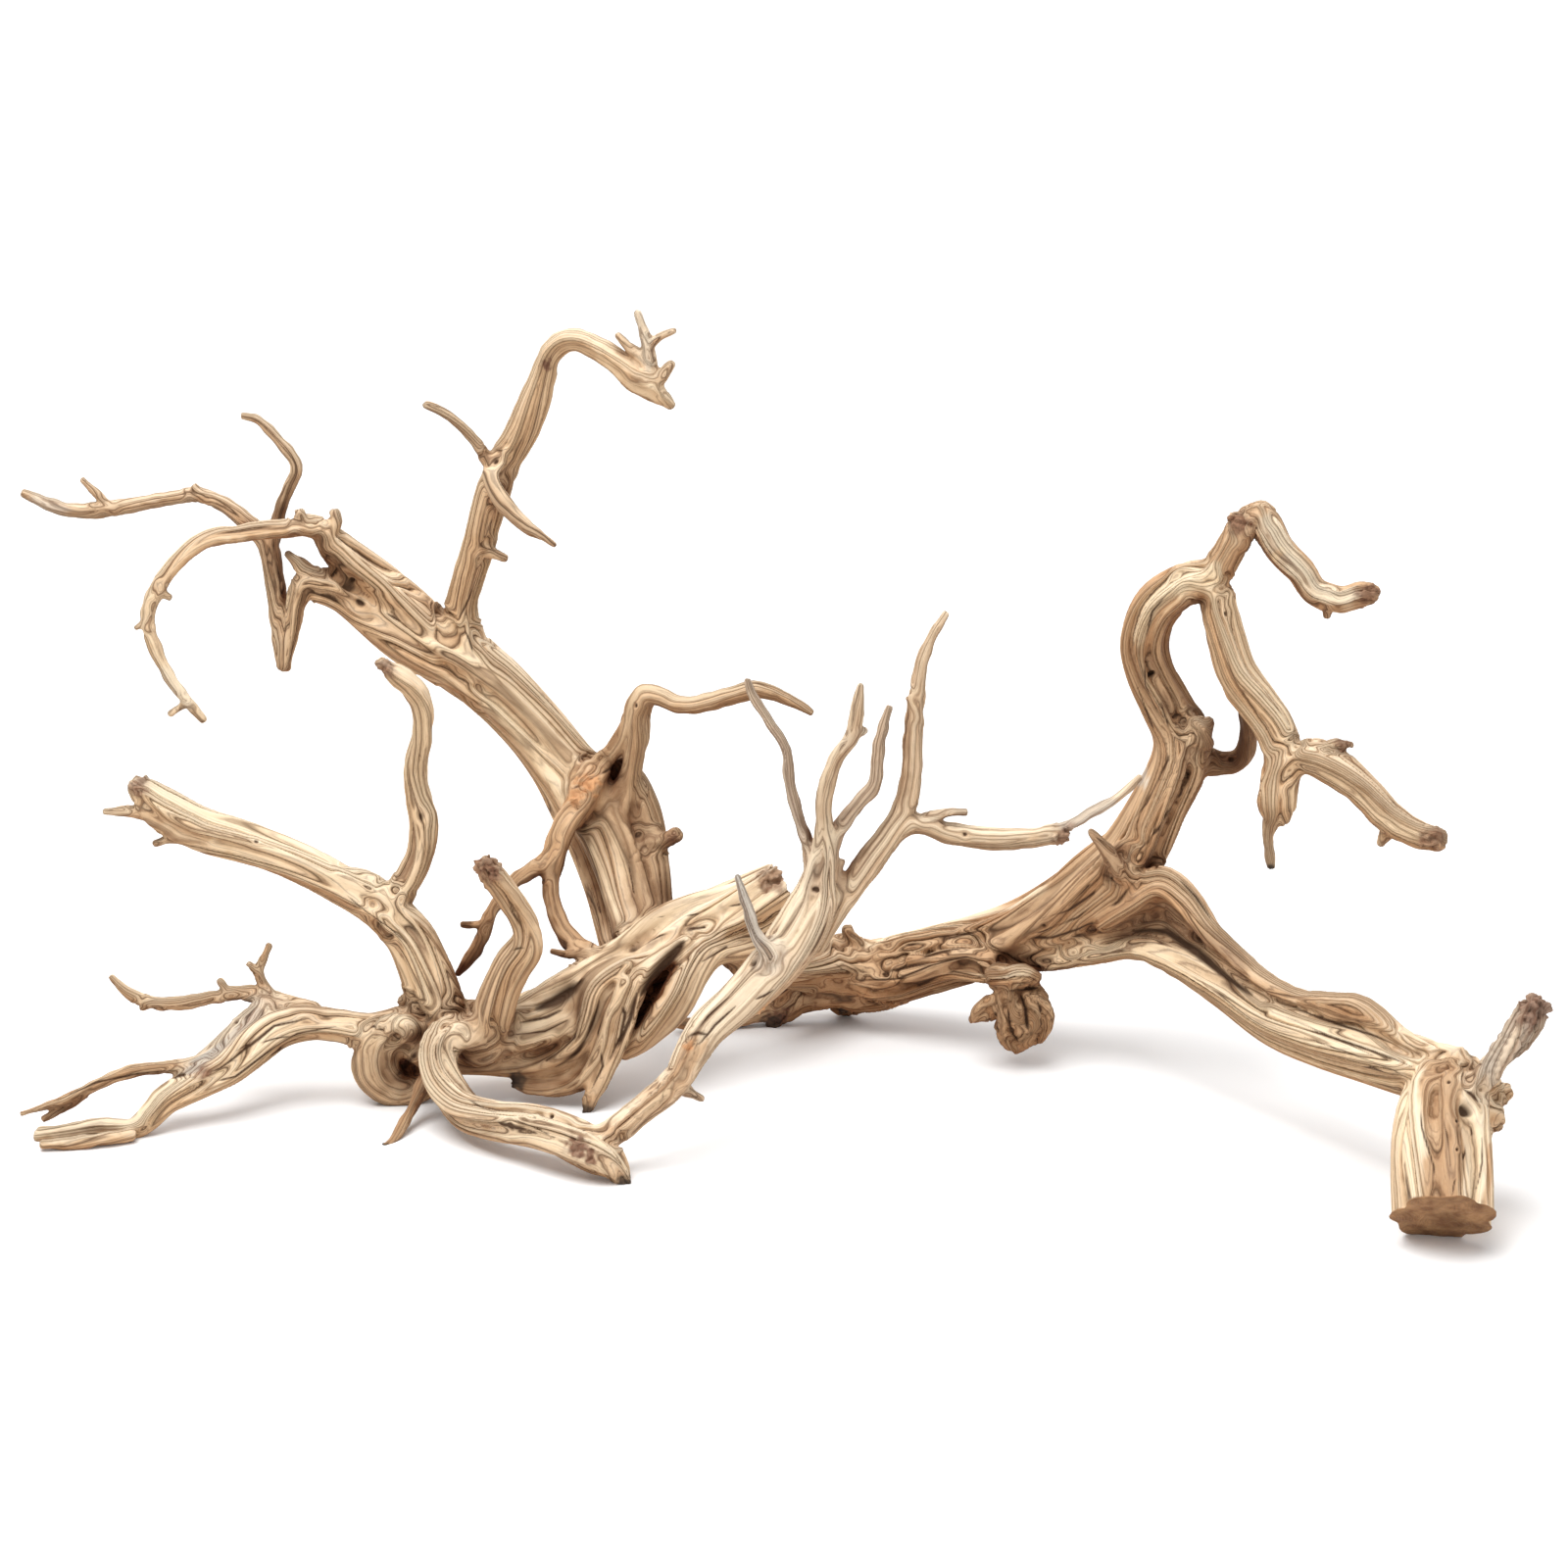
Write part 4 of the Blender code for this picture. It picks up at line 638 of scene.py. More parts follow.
# Splits seen from the front: points along them, then half width and depth
SPLITS = (
    (((395, 625), (402, 630), (410, 635)), 0.9, 2.2),
    (((490, 580), (484, 600), (475, 620), (466, 634)), 1.1, 2.6),
    (((475, 640), (482, 660), (492, 682)), 1.0, 2.0),
    (((584, 806), (600, 796), (618, 787), (630, 781)), 1.3, 3.2),
    (((612, 800), (628, 786), (640, 776)), 1.1, 2.6),
    (((430, 1068), (422, 1078), (413, 1088), (406, 1097)), 2.3, 6.5),
    (((770, 1020), (780, 1016), (790, 1010)), 0.9, 2.0),
    (((698, 960), (688, 974), (676, 988), (664, 1002), (654, 1016)), 6.0, 8.0),
    (((594, 1000), (582, 1012), (566, 1022), (546, 1030)), 5.5, 8.0),
    (((506, 1146), (520, 1150), (536, 1153)), 2.4, 2.4),
    (((612, 1020), (604, 1046), (590, 1072), (566, 1090)), 2.2, 5.0),
    (((650, 1012), (643, 1040), (630, 1070)), 2.0, 4.5),
    (((370, 1045), (381, 1047), (392, 1052)), 1.1, 2.4),
    (((1020, 960), (1060, 957), (1100, 955), (1140, 950)), 1.3, 2.8),
    (((1126, 893), (1136, 897), (1146, 905)), 1.4, 3.2),
    (((500, 982), (515, 972), (528, 968), (536, 968)), 0.9, 1.8),
    (((1155, 950), (1190, 950), (1222, 972), (1250, 996), (1278, 1016)), 3.4, 6.0),
    (((1204, 898), (1220, 915), (1236, 938)), 1.0, 2.0),
    (((1320, 1046), (1360, 1058), (1400, 1076)), 0.8, 1.4),
    (((1360, 1086), (1400, 1090), (1422, 1098)), 0.7, 1.2),
    (((1448, 1098), (1451, 1150), (1463, 1190), (1461, 1223)), 0.8, 1.3),
    (((1498, 1130), (1503, 1155), (1497, 1180), (1484, 1206), (1481, 1225)), 0.8, 1.3),
    (((1513, 1160), (1513, 1185), (1508, 1212)), 0.8, 1.5),
    (((1470, 1130), (1476, 1160), (1480, 1190)), 0.6, 0.9),
    (((1495, 1110), (1503, 1118), (1510, 1124)), 1.4, 3.0),
    (((640, 880), (645, 910), (650, 940)), 0.8, 1.4),
    (((600, 900), (612, 930), (620, 962)), 0.7, 1.2),
    (((860, 985), (900, 992), (940, 984), (980, 978)), 1.0, 2.0),
    (((900, 965), (960, 955), (1010, 945)), 1.0, 1.8),
    (((1090, 925), (1110, 905), (1130, 880)), 0.9, 1.8),
    (((1160, 700), (1175, 740), (1185, 775)), 0.9, 1.6),
    (((1040, 1011), (1046, 1028), (1048, 1046), (1056, 1062)), 1.5, 5.5),
    (((1056, 1015), (1062, 1030), (1062, 1046), (1055, 1056)), 0.9, 3.0),
    (((1022, 1018), (1030, 1034), (1032, 1052), (1040, 1066)), 1.5, 5.5),
    (((1008, 1026), (1016, 1036), (1018, 1050), (1026, 1064)), 1.3, 4.5),
    (((1000, 1043), (1010, 1040), (1020, 1044)), 0.9, 2.5),
    (((1012, 1010), (1030, 1011), (1046, 1009), (1060, 1008)), 1.4, 4.0),
    (((225, 1080), (250, 1068), (280, 1060), (330, 1052)), 0.7, 1.2),
    (((871, 960), (929, 964), (987, 953), (1027, 948)), 1.2, 2.8),
    (((1060, 938), (1090, 930), (1115, 912), (1135, 893)), 1.1, 2.4),
    (((849, 971), (880, 992), (916, 989), (947, 975), (982, 966), (1013, 978)), 1.2, 3.2),
    (((867, 1020), (898, 1011), (938, 1006), (973, 991), (1000, 997)), 1.2, 3.0),
    (((852, 983), (878, 1001), (915, 999), (950, 985), (985, 977), (1020, 992)), 1.1, 2.6),
    (((1040, 965), (1080, 955), (1112, 944), (1140, 920), (1160, 897)), 1.3, 3.2),
    (((1030, 955), (1064, 951), (1100, 936), (1126, 915)), 0.9, 2.0),
    (((627, 1009), (638, 1035), (633, 1058), (621, 1082)), 1.3, 3.0),
    (((529, 1044), (558, 1038), (575, 1030)), 1.2, 2.6),
    (((520, 1056), (556, 1052), (580, 1040)), 0.8, 1.8),
    (((662, 937), (708, 931), (754, 923), (794, 905)), 0.8, 1.8),
    (((650, 966), (673, 954), (719, 946), (766, 937)), 1.0, 2.4),
    (((714, 983), (742, 966), (777, 954)), 0.9, 2.0),
    (((511, 1076), (558, 1082), (586, 1059), (592, 1024)), 1.0, 2.4),
    (((604, 1111), (615, 1088), (610, 1053), (621, 1024)), 1.0, 2.2),
    (((338, 897), (373, 931), (413, 960), (442, 995)), 0.8, 1.6),
    (((506, 897), (523, 931), (540, 960)), 0.8, 1.8),
    (((454, 1105), (488, 1128), (529, 1145), (569, 1163)), 0.8, 1.6),
    (((703, 1062), (722, 1036), (745, 1014)), 1.1, 2.8),
    (((713, 1067), (730, 1046), (752, 1026)), 1.0, 2.4),
    (((688, 1070), (700, 1058), (712, 1054), (722, 1056)), 1.6, 3.2),
    (((1300, 1020), (1350, 1040), (1400, 1056), (1450, 1076)), 0.9, 1.8),
    (((1310, 1036), (1360, 1058), (1410, 1075), (1440, 1088)), 0.8, 1.5),
    (((1330, 1058), (1380, 1076), (1430, 1096)), 0.7, 1.3),
    (((160, 1098), (175, 1100), (190, 1096)), 1.8, 3.4),
    (((60, 1122), (100, 1104), (140, 1096), (180, 1092)), 0.9, 2.0),
    (((192, 1100), (224, 1091), (256, 1067), (280, 1047), (316, 1039)), 1.2, 2.8),
    (((200, 1107), (240, 1099), (272, 1075), (304, 1055), (344, 1047)), 1.1, 2.6),
    (((250, 1100), (285, 1073), (320, 1058)), 0.9, 1.8),
    (((60, 1160), (90, 1157), (125, 1157)), 1.0, 2.4),
    (((1180, 690), (1190, 735), (1192, 775), (1170, 820), (1145, 850)), 0.9, 2.0),
    (((1170, 660), (1168, 700), (1186, 745)), 0.8, 1.6),
    (((1212, 775), (1205, 810), (1180, 850), (1150, 880)), 1.1, 2.6),
    (((1196, 600), (1176, 625), (1170, 650)), 0.9, 1.8),
)

# Folded places seen from the front: column, row, reach and depth of the creases
FOLDS = (
    (1040, 1032, 27, 2.6), (1128, 888, 13, 2.0), (1212, 745, 11, 1.6), (1552, 1054, 20, 2.6),
    (875, 1003, 14, 1.8), (428, 1026, 10, 1.5), (872, 962, 12, 1.4), (800, 1036, 14, 1.6),
    (592, 1172, 9, 1.4), (1522, 1112, 14, 1.8), (706, 1064, 13, 2.0), (674, 1116, 14, 1.6),
    (640, 1148, 12, 1.5), (600, 806, 13, 1.4), (650, 868, 10, 1.4), (1264, 536, 9, 1.4),
    (1190, 800, 22, 1.0),
)

# Places where the grain's lines are faint: column, row, reach, and the strength left
CALM = (
    (1466, 1128, 17, 0.25), (1336, 1050, 14, 0.5), (1400, 1056, 16, 0.4), (1442, 1072, 14, 0.4),
    (600, 1168, 9, 0.4),
)

# Coloured scars seen from the front: column, row, radius, and what they are
BARK, RAW = "bark", "raw"
SCARS = (
    (589, 1171, 6.5, BARK), (602, 1181, 5.0, BARK), (701, 1068, 3.5, RAW), (600, 800, 8.0, RAW),
    (588, 812, 6.0, RAW), (558, 373, 4.0, BARK), (795, 1040, 8.0, BARK), (503, 890, 5.0, BARK),
    (780, 1030, 6.0, RAW),
)

# Broad strokes of colour seen from the front: points, reach, and the four shares. A few are painted
# highlight or painted shade, marked below.
STROKES = (
    (((1470, 1088), (1474, 1130), (1480, 1165), (1474, 1200), (1471, 1228)), 12.0,
     (0.0, 0.6, 0.52, 0.0)),
    (((1436, 1105), (1434, 1160), (1440, 1226)), 6.5, (1.0, 0.0, 0.0, 0.0)),
    (((1512, 1140), (1512, 1180), (1500, 1225)), 5.5, (0.95, 0.0, 0.0, 0.0)),
    (((1524, 1170), (1522, 1200), (1517, 1226)), 2.5, (0.0, 0.6, 0.15, 0.0)),
    (((500, 718), (545, 765), (575, 812), (598, 870), (612, 935)), 6.5, (0.95, 0.0, 0.0, 0.0)),
    (((642, 810), (655, 850), (663, 900), (664, 945)), 12.0, (0.0, 0.35, 0.5, 0.0)),
    # Painted highlight: cream along the top of the trunk
    (((560, 985), (620, 962), (680, 935), (740, 915), (790, 903)), 7.0, (0.95, 0.0, 0.0, 0.0)),
    (((150, 800), (200, 830), (260, 850), (330, 880), (390, 905)), 6.0, (0.95, 0.0, 0.0, 0.0)),
    (((452, 960), (462, 990), (478, 1012)), 6.0, (1.0, 0.0, 0.0, 0.0)),
    (((432, 1078), (434, 1104), (450, 1132)), 3.0, (0.95, 0.0, 0.0, 0.1)),
    # Painted highlight: cream on the elbow's upper curve
    (((1158, 650), (1172, 616), (1205, 592), (1235, 585)), 7.0, (0.85, 0.0, 0.0, 0.0)),
    (((885, 962), (940, 946), (1000, 930), (1060, 903)), 5.0, (0.6, 0.1, 0.0, 0.0)),
    (((960, 1012), (1040, 992), (1130, 966)), 5.5, (0.6, 0.1, 0.0, 0.0)),
    # Painted shade: umber in the gap between the leg's two strands
    (((1152, 946), (1195, 940), (1235, 958), (1262, 990)), 8.0, (0.0, 0.2, 0.95, 0.0)),
    (((262, 1035), (230, 1064), (195, 1092)), 4.0, (0.0, 0.0, 0.25, 0.85)),
    (((706, 1070), (688, 1102), (656, 1132), (625, 1156)), 8.0, (0.1, 0.5, 0.15, 0.05)),
    (((1296, 538), (1322, 577), (1345, 602), (1374, 612)), 7.0, (0.75, 0.0, 0.0, 0.3)),
    (((60, 517), (40, 511), (20, 502)), 6.0, (0.3, 0.0, 0.0, 0.6)),
    (((172, 690), (192, 716), (210, 738)), 6.0, (0.7, 0.0, 0.0, 0.3)),
    (((1090, 842), (1130, 820), (1165, 790)), 5.0, (0.1, 0.0, 0.0, 0.85)),
    (((690, 760), (766, 712), (785, 740)), 3.0, (0.1, 0.0, 0.0, 0.5)),
    (((650, 320), (657, 342), (662, 368)), 5.0, (0.5, 0.0, 0.0, 0.4)),
    (((1290, 590), (1300, 570), (1308, 562)), 2.0, (0.6, 0.0, 0.0, 0.0)),
)

# Where the grain turns like a whirl: column, row, reach, and share of a full turn
SWIRLS = (
    (410, 1050, 9.0, 0.45), (470, 1062, 8.0, -0.3), (1046, 1036, 10.0, 0.35), (1210, 745, 9.0, 0.2),
    (1160, 872, 9.0, -0.25), (596, 806, 8.0, 0.25),
)

# Ends that are broken or rubbed: column, row, reach, and depth of their teeth
BROKEN_ENDS = (
    (497, 884, 13, 1.8), (1263, 533, 9, 1.4), (1398, 607, 10, 1.4), (1464, 856, 10, 1.6),
    (1566, 1028, 14, 2.0), (140, 800, 9, 1.4), (392, 680, 8, 1.0), (1086, 853, 8, 2.0),
    (684, 400, 9, 1.6), (686, 856, 5, 0.8), (1372, 760, 6, 0.8), (206, 1093, 6, 0.8),
    (792, 898, 13, 1.6), (598, 1140, 5, 0.8),
)

# Darkened tips: column, row and reach. Most rest on the floor, where their dark is painted contact
# shadow
DARKENED_TIPS = (
    (787, 1050, 9), (637, 1210, 6), (525, 1104, 6), (598, 1136, 6), (392, 1171, 3), (858, 1032, 5),
    (1297, 886, 3),
)

# The pieces that the wood is parted into, from left to right
PIECES = (
    "finger_tips", "left_limbs", "burl", "serpent", "trunk", "slant", "crown", "knob",
    "elbow", "leg", "sawn_end",
)

# What each vertex keeps for the material, and how many numbers each takes
STORED = {
    "grain": 3, "rings_open_sky": 3, "pale_warm_dark": 3, "bark_raw_dark_tip": 3, "shading": 3,
    "hollow_dirt_and_shade": 1, "silver": 1, "sawn": 1, "strength": 1,
}


def sight(column, row):
    """The eye and the direction from it through a place in the view, in the limbs' own measure."""
    forward = np.array([0.0, cos(VIEW_TILT), -sin(VIEW_TILT)])
    upward = np.array([0.0, sin(VIEW_TILT), cos(VIEW_TILT)])
    eye = np.array([0.0, 0.0, VIEW_AIM_HEIGHT]) - forward * VIEW_DISTANCE
    ray = forward * VIEW_DISTANCE / (VIEW_SCALE * MM) + upward * (VIEW_CENTRE - row)
    ray[0] = column - VIEW_CENTRE
    return eye, ray


def sight_way(column, row):
    """The unit direction from the eye through a place in the view."""
    ray = sight(column, row)[1]
    return ray / np.linalg.norm(ray)


def fitted(points):
    """Points in the limbs' own measure, moved to the frame of the CAD solid."""
    moved = (np.asarray(points) - FIT_MIDDLE) * FIT_SCALE
    moved[..., 2] -= FOOT_TRIM
    return moved


def station_point(station):
    """A station's centre and width, in metres."""
    column, row, depth, width = station
    eye, ray = sight(column, row)
    spot = eye + ray * (depth * MM * DEPTH_RATIO - eye[1]) / ray[1]
    return [*spot, max(width, THINNEST_WOOD) * MM]


def smooth_route(stations):
    """Evenly spaced centre points and widths on a curve through the stations."""
    knots = np.array([station_point(s) for s in stations])
    knots = np.vstack([2 * knots[0] - knots[1], knots, 2 * knots[-1] - knots[-2]])
    knots[[0, -1], 3] = knots[[1, -2], 3]
    rows = []
    for a, b, c, d in zip(knots, knots[1:], knots[2:], knots[3:]):
        span = np.linalg.norm(c[:3] - b[:3])
        step = max(SHORTEST_RING_STEP * MM, RING_STEP_SHARE * (b[3] + c[3]) / 2)
        for t in np.linspace(0, 1, max(2, round(span / step)), endpoint=False):
            rows.append(0.5 * (
                2 * b + (c - a) * t + (2 * a - 5 * b + 4 * c - d) * t ** 2
                + (3 * b - a - 3 * c + d) * t ** 3
            ))
    rows.append(knots[-2])
    rows = np.array(rows)
    return rows[:, :3], np.maximum(rows[:, 3], THINNEST_WOOD * MM)


def directions_along(centres):
    """Unit directions along a route."""
    along = np.gradient(centres, axis=0)
    return along / np.linalg.norm(along, axis=1)[:, None]


def carried(along, across):
    """Two directions across a route at every point, carried along it without spinning."""
    first, second = [], []
    for tangent in along:
        across = across - tangent * (across @ tangent)
        across = across / np.linalg.norm(across)
        first.append(across)
        second.append(np.cross(tangent, across))
    return np.array(first), np.array(second)


def first_across(tangent):
    """A steady direction across a limb's root."""
    across = np.cross(tangent, [0.0, 0.0, 1.0])
    if np.linalg.norm(across) < 0.2:
        across = np.cross(tangent, [0.0, 1.0, 0.0])
    return across


def ridge_profile(angle, run, limb, phase):
    """The share of the full radius that the fluted surface keeps."""
    turned = angle + 2 * pi * limb.twist * run + phase
    dip = 1 - np.abs(np.sin(turned * limb.flutes / 2))
    wander = VALLEY_LEAST + (1 - VALLEY_LEAST) * np.sin(turned + 5 * run + 2 * phase) ** 2
    return 1 + limb.groove * (RIDGE_LIFT - VALLEY_DEPTH * dip * wander)


def limb_skin(name, limb, phase):
    """Points and faces of one limb's closed skin."""
    centres, widths = smooth_route(limb.stations)
    along = directions_along(centres)
    first, second = carried(along, first_across(along[0]))
    angles = np.linspace(0, 2 * pi, RING_SIDES, endpoint=False)
    run = np.linspace(0, 1, len(centres))
    rings = []
    for i, centre in enumerate(centres):
        radius = widths[i] / 2 * ridge_profile(angles, run[i], limb, phase)
        side = np.outer(np.cos(angles) * radius, first[i])
        rise = np.outer(np.sin(angles) * radius * limb.flat, second[i])
        rings.append(centre + side + rise)
    if name not in SAWN_LIMBS:
        end_centre = centres[-1] + along[-1] * widths[-1] * TIP_LENGTH_SHARE
        rings.append(end_centre + (rings[-1] - centres[-1]) * TIP_WIDTH_SHARE)
    if name not in CUT_ROOTS:
        root_centre = centres[0] - along[0] * widths[0] * ROOT_LENGTH_SHARE
        rings.insert(0, root_centre + (rings[0] - centres[0]) * ROOT_WIDTH_SHARE)
    points = np.vstack([*rings, rings[0].mean(0)[None], rings[-1].mean(0)[None]])
    root_middle, tip_middle = len(points) - 2, len(points) - 1
    last = (len(rings) - 1) * RING_SIDES
    faces = []
    for low in range(0, last, RING_SIDES):
        high = low + RING_SIDES
        for j in range(RING_SIDES):
            k = (j + 1) % RING_SIDES
            faces.append((low + j, low + k, high + k, high + j))
    for j in range(RING_SIDES):
        k = (j + 1) % RING_SIDES
        faces += [(root_middle, k, j), (tip_middle, last + j, last + k)]
    return fitted(points), faces


def apply_modifier(thing, name):
    """Applies one modifier of an object, as by hand."""
    bpy.ops.object.select_all(action="DESELECT")
    thing.select_set(True)
    bpy.context.view_layer.objects.active = thing
    bpy.ops.object.modifier_apply(modifier=name)


def grown_skin(shape):
    """An object with the wood's whole skin on a fine even grid, before any carving."""
    points, faces, count = [], [], 0
    for number, (name, limb) in enumerate(LIMBS.items()):
        skin, skin_faces = limb_skin(name, limb, PHASE_STEP * number)
        points.append(skin)
        faces += [tuple(count + v for v in face) for face in skin_faces]
        count += len(skin)
    mesh = bpy.data.meshes.new("wood_skin")
    mesh.from_pydata(np.vstack(points).tolist(), [], faces)
    wood = bpy.data.objects.new("wood_skin", mesh)
    bpy.context.scene.collection.objects.link(wood)
    skin = wood.modifiers.new("One skin", "REMESH")
    skin.mode = "VOXEL"
    skin.voxel_size = shape.grid
    apply_modifier(wood, skin.name)
    soften = wood.modifiers.new("Soften joints", "SMOOTH")
    soften.factor = 0.5
    soften.iterations = shape.softening
    apply_modifier(wood, soften.name)
    return wood


class Route(NamedTuple):
    """A limb's centre line with what the grain needs to follow it."""

    name: str
    centres: np.ndarray
    radii: np.ndarray
    first: np.ndarray
    second: np.ndarray
    travelled: np.ndarray
    origin: np.ndarray
    sense: float
    turn: np.ndarray


def nearest_on(route, points):
    """For each point: place on the route as index and fraction, and distance from the line."""
    best = np.full(len(points), np.inf)
    place = np.zeros(len(points))
    for i, (a, b) in enumerate(zip(route.centres, route.centres[1:])):
        run = b - a
        share = np.clip((points - a) @ run / (run @ run), 0, 1)
        gap = points - a - share[:, None] * run
        far = np.einsum("ij,ij->i", gap, gap)
        nearer = far < best
        best[nearer] = far[nearer]
        place[nearer] = i + share[nearer]
    return place, np.sqrt(best)


def blended(rows, place):
    """Rows of a table read at fractional places."""
    low = np.minimum(place.astype(int), len(rows) - 2)
    share = place - low
    if rows.ndim > 1:
        share = share[:, None]
    return rows[low] * (1 - share) + rows[low + 1] * share


def grain_at(route, points, place):
    """Straightened grain coordinates in millimetres, with the length squeezed."""
    gap = points - blended(route.centres, place)
    side = np.einsum("ij,ij->i", gap, blended(route.first, place)) / MM
    rise = np.einsum("ij,ij->i", gap, blended(route.second, place)) / MM
    turn = blended(route.turn, place)
    fineness = np.sqrt(GRAIN_RADIUS * MM / blended(route.radii, place))
    return route.origin + np.column_stack([
        (side * np.cos(turn) - rise * np.sin(turn)) * fineness,
        (side * np.sin(turn) + rise * np.cos(turn)) * fineness,
        route.sense * blended(route.travelled, place) / MM / GRAIN_STRETCH,
    ])


def turned_to(direction, other, vector):
    """vector, turned the way that brings one direction onto another."""
    axis = np.cross(direction, other)
    twice = np.cross(axis, np.cross(axis, vector))
    return vector + np.cross(axis, vector) + twice / (1 + direction @ other)


def parent_of(routes, root):
    """The limb that a root grows from, and the place on it, or two Nones."""
    nearest, parent, place = PARENT_REACH, None, None
    for older in routes:
        spot, far = nearest_on(older, root)
        outside = far[0] - blended(older.radii, spot)[0]
        if outside < nearest:
            nearest, parent, place = outside, older, spot
    return parent, place


def grain_routes():
    """Every limb's route. A limb takes up the grain of the one that it grows from."""
    routes = []
    for name, limb in LIMBS.items():
        centres, widths = smooth_route(limb.stations)
        centres = fitted(centres)
        radii = widths * FIT_SCALE / 2
        along = directions_along(centres)
        steps = np.linalg.norm(np.diff(centres, axis=0), axis=1)
        travelled = np.concatenate([[0], np.cumsum(steps)])
        turn = 2 * pi * limb.twist * travelled / travelled[-1]
        across, origin, sense, backwards = first_across(along[0]), np.zeros(3), 1.0, False
        parent, place = parent_of(routes, centres[:1])
        if parent is not None:
            origin = grain_at(parent, centres[:1], place)[0]
            parent_first = blended(parent.first, place)[0]
            parent_second = blended(parent.second, place)[0]
            bend = blended(parent.turn, place)[0]
            parent_along = np.cross(parent_first, parent_second)
            parent_along /= np.linalg.norm(parent_along)
            backwards = along[0] @ parent_along < 0
            way = -along[0] if backwards else along[0]
            level = parent_first * cos(bend) - parent_second * sin(bend)
            across = turned_to(parent_along, way, level)
            sense = -parent.sense if backwards else parent.sense
        first, second = carried(along, across)
        if backwards:
            second, turn = -second, -turn
        routes.append(Route(
            name, centres, radii, first, second, travelled, origin, sense, turn,
        ))
    return routes


class WoodField(NamedTuple):
    """What the limbs give each vertex: grain place, limb radius, and tint."""

    grain: np.ndarray
    radius: np.ndarray
    tint: np.ndarray


def field_of(points, routes):
    """Blends the grain, radius and tint of the limbs round each point."""
    total = np.full(len(points), 1e-12)
    grain = np.zeros((len(points), 3))
    radius = np.zeros(len(points))
    tint = np.zeros((len(points), 4))
    for route in routes:
        margin = route.radii.max() + LIMB_REACH
        low, high = route.centres.min(0) - margin, route.centres.max(0) + margin
        near = np.flatnonzero(np.all((points > low) & (points < high), axis=1))
        if not len(near):
            continue
        place, far = nearest_on(route, points[near])
        thick = blended(route.radii, place)
        outside = np.maximum(far - thick, 0)
        weight = np.exp(-(outside / (BLEND_REACH + BLEND_SHARE * thick)) ** 2) + 1e-9
        keep = outside < LIMB_REACH
        near, place, thick, weight = near[keep], place[keep], thick[keep], weight[keep]
        total[near] += weight
        grain[near] += weight[:, None] * grain_at(route, points[near], place)
        radius[near] += weight * thick
        tint[near] += weight[:, None] * np.array(TINTS.get(route.name, PLAIN_TINT))
    share = 1 / total
    return WoodField(grain * share[:, None], radius * share, tint * share[:, None])


def noise_at(points, pattern):
    """Smooth noise of about -1 to 1 at each point, which is in millimetres."""
    moved = points / pattern.size + pattern.number * PATTERN_STEP
    return np.fromiter(map(noise.noise, moved.tolist()), float, len(moved))


def fading(gap, edge, steepness):
    """1 well inside an edge and 0 well outside it."""
    return 1 / (1 + np.exp((gap - edge) * steepness))


def bump_shape(gap):
    """A smooth hump that is 1 at the middle and fades at a distance of 1."""
    return np.exp(-gap ** 2 * 2)


def seen_point(wood, column, row):
    """The point of the skin that shows at a place in the view, or None."""
    eye = fitted(sight(column, row)[0])
    hit, spot, _, _ = wood.ray_cast(eye.tolist(), sight_way(column, row).tolist())
    return np.array(spot) if hit else None


def seen_places(wood, table):
    """For each row of a table that shows in the view: its point on the skin, and its sizes."""
    for column, row, *sizes in table:
        spot = seen_point(wood, column, row)
        if spot is not None:
            yield spot, *sizes


def seen_line(wood, line):
    """The points of the skin along a line in the view, where they show."""
    spots = [seen_point(wood, column, row) for column, row in line]
    return np.array([spot for spot in spots if spot is not None])


def line_gap(points, spots, reach):
    """Which points lie within reach of a line through spots, how far off, and how far along it."""
    near = np.all(points > spots.min(0) - reach, axis=1)
    near = np.flatnonzero(near & np.all(points < spots.max(0) + reach, axis=1))
    close = points[near]
    far, place = np.full(len(near), np.inf), np.zeros(len(near))
    for number, (a, b) in enumerate(zip(spots, spots[1:])):
        run = b - a
        share = np.clip((close - a) @ run / max(run @ run, 1e-12), 0, 1)
        gap = np.linalg.norm(close - a - share[:, None] * run, axis=1)
        nearer = gap < far
        far[nearer] = gap[nearer]
        place[nearer] = (number + share[nearer]) / (len(spots) - 1)
    inside = far < reach
    return near[inside], far[inside], place[inside]


def spot_gap(points, spot, reach):
    """Which points lie within reach of a spot, and how far off."""
    near = np.flatnonzero(np.all(np.abs(points - spot) < reach, axis=1))
    far = np.linalg.norm(points[near] - spot, axis=1)
    return near[far < reach], far[far < reach]


def bent_places(wood, points):
    """Where the grain is read for each point: whirled at swirls and drawn in at knots."""
    bent = points.copy()
    for column, row, reach, turns in SWIRLS:
        spot, axis = seen_point(wood, column, row), sight_way(column, row)
        if spot is None:
            continue
        near, far = spot_gap(bent, spot, 3 * reach * MM)
        gap = bent[near] - spot
        angle = (2 * pi * turns * np.exp(-(far / (reach * MM)) ** 2))[:, None]
        level = np.outer(gap @ axis, axis)
        turned = (gap - level) * np.cos(angle) + np.cross(axis, gap) * np.sin(angle)
        bent[near] = spot + level + turned
    for spot, size, _ in seen_places(wood, KNOT_HOLES):
        near, far = spot_gap(bent, spot, 7 * size * MM)
        drawn = 1 - 0.85 * np.exp(-(far / (2.4 * size * MM)) ** 2)
        bent[near] = spot + (bent[near] - spot) * drawn[:, None]
    return bent


def stroked(wood, points, flow, tint):
    """The limbs' tints with the broad strokes laid over them, painted highlights and painted shade
    among them.
    """
    tint = tint.copy()
    for line, reach, colour in STROKES:
        spots = seen_line(wood, line)
        if len(spots) < 2:
            continue
        near, far, _ = line_gap(points, spots, 2 * reach * MM)
        edge = far / (reach * MM) + 0.7 * noise_at(flow[near], STROKE_EDGE)
        share = fading(edge, 1, 7)[:, None]
        tint[near] = tint[near] * (1 - share) + np.array(colour) * share
    return tint


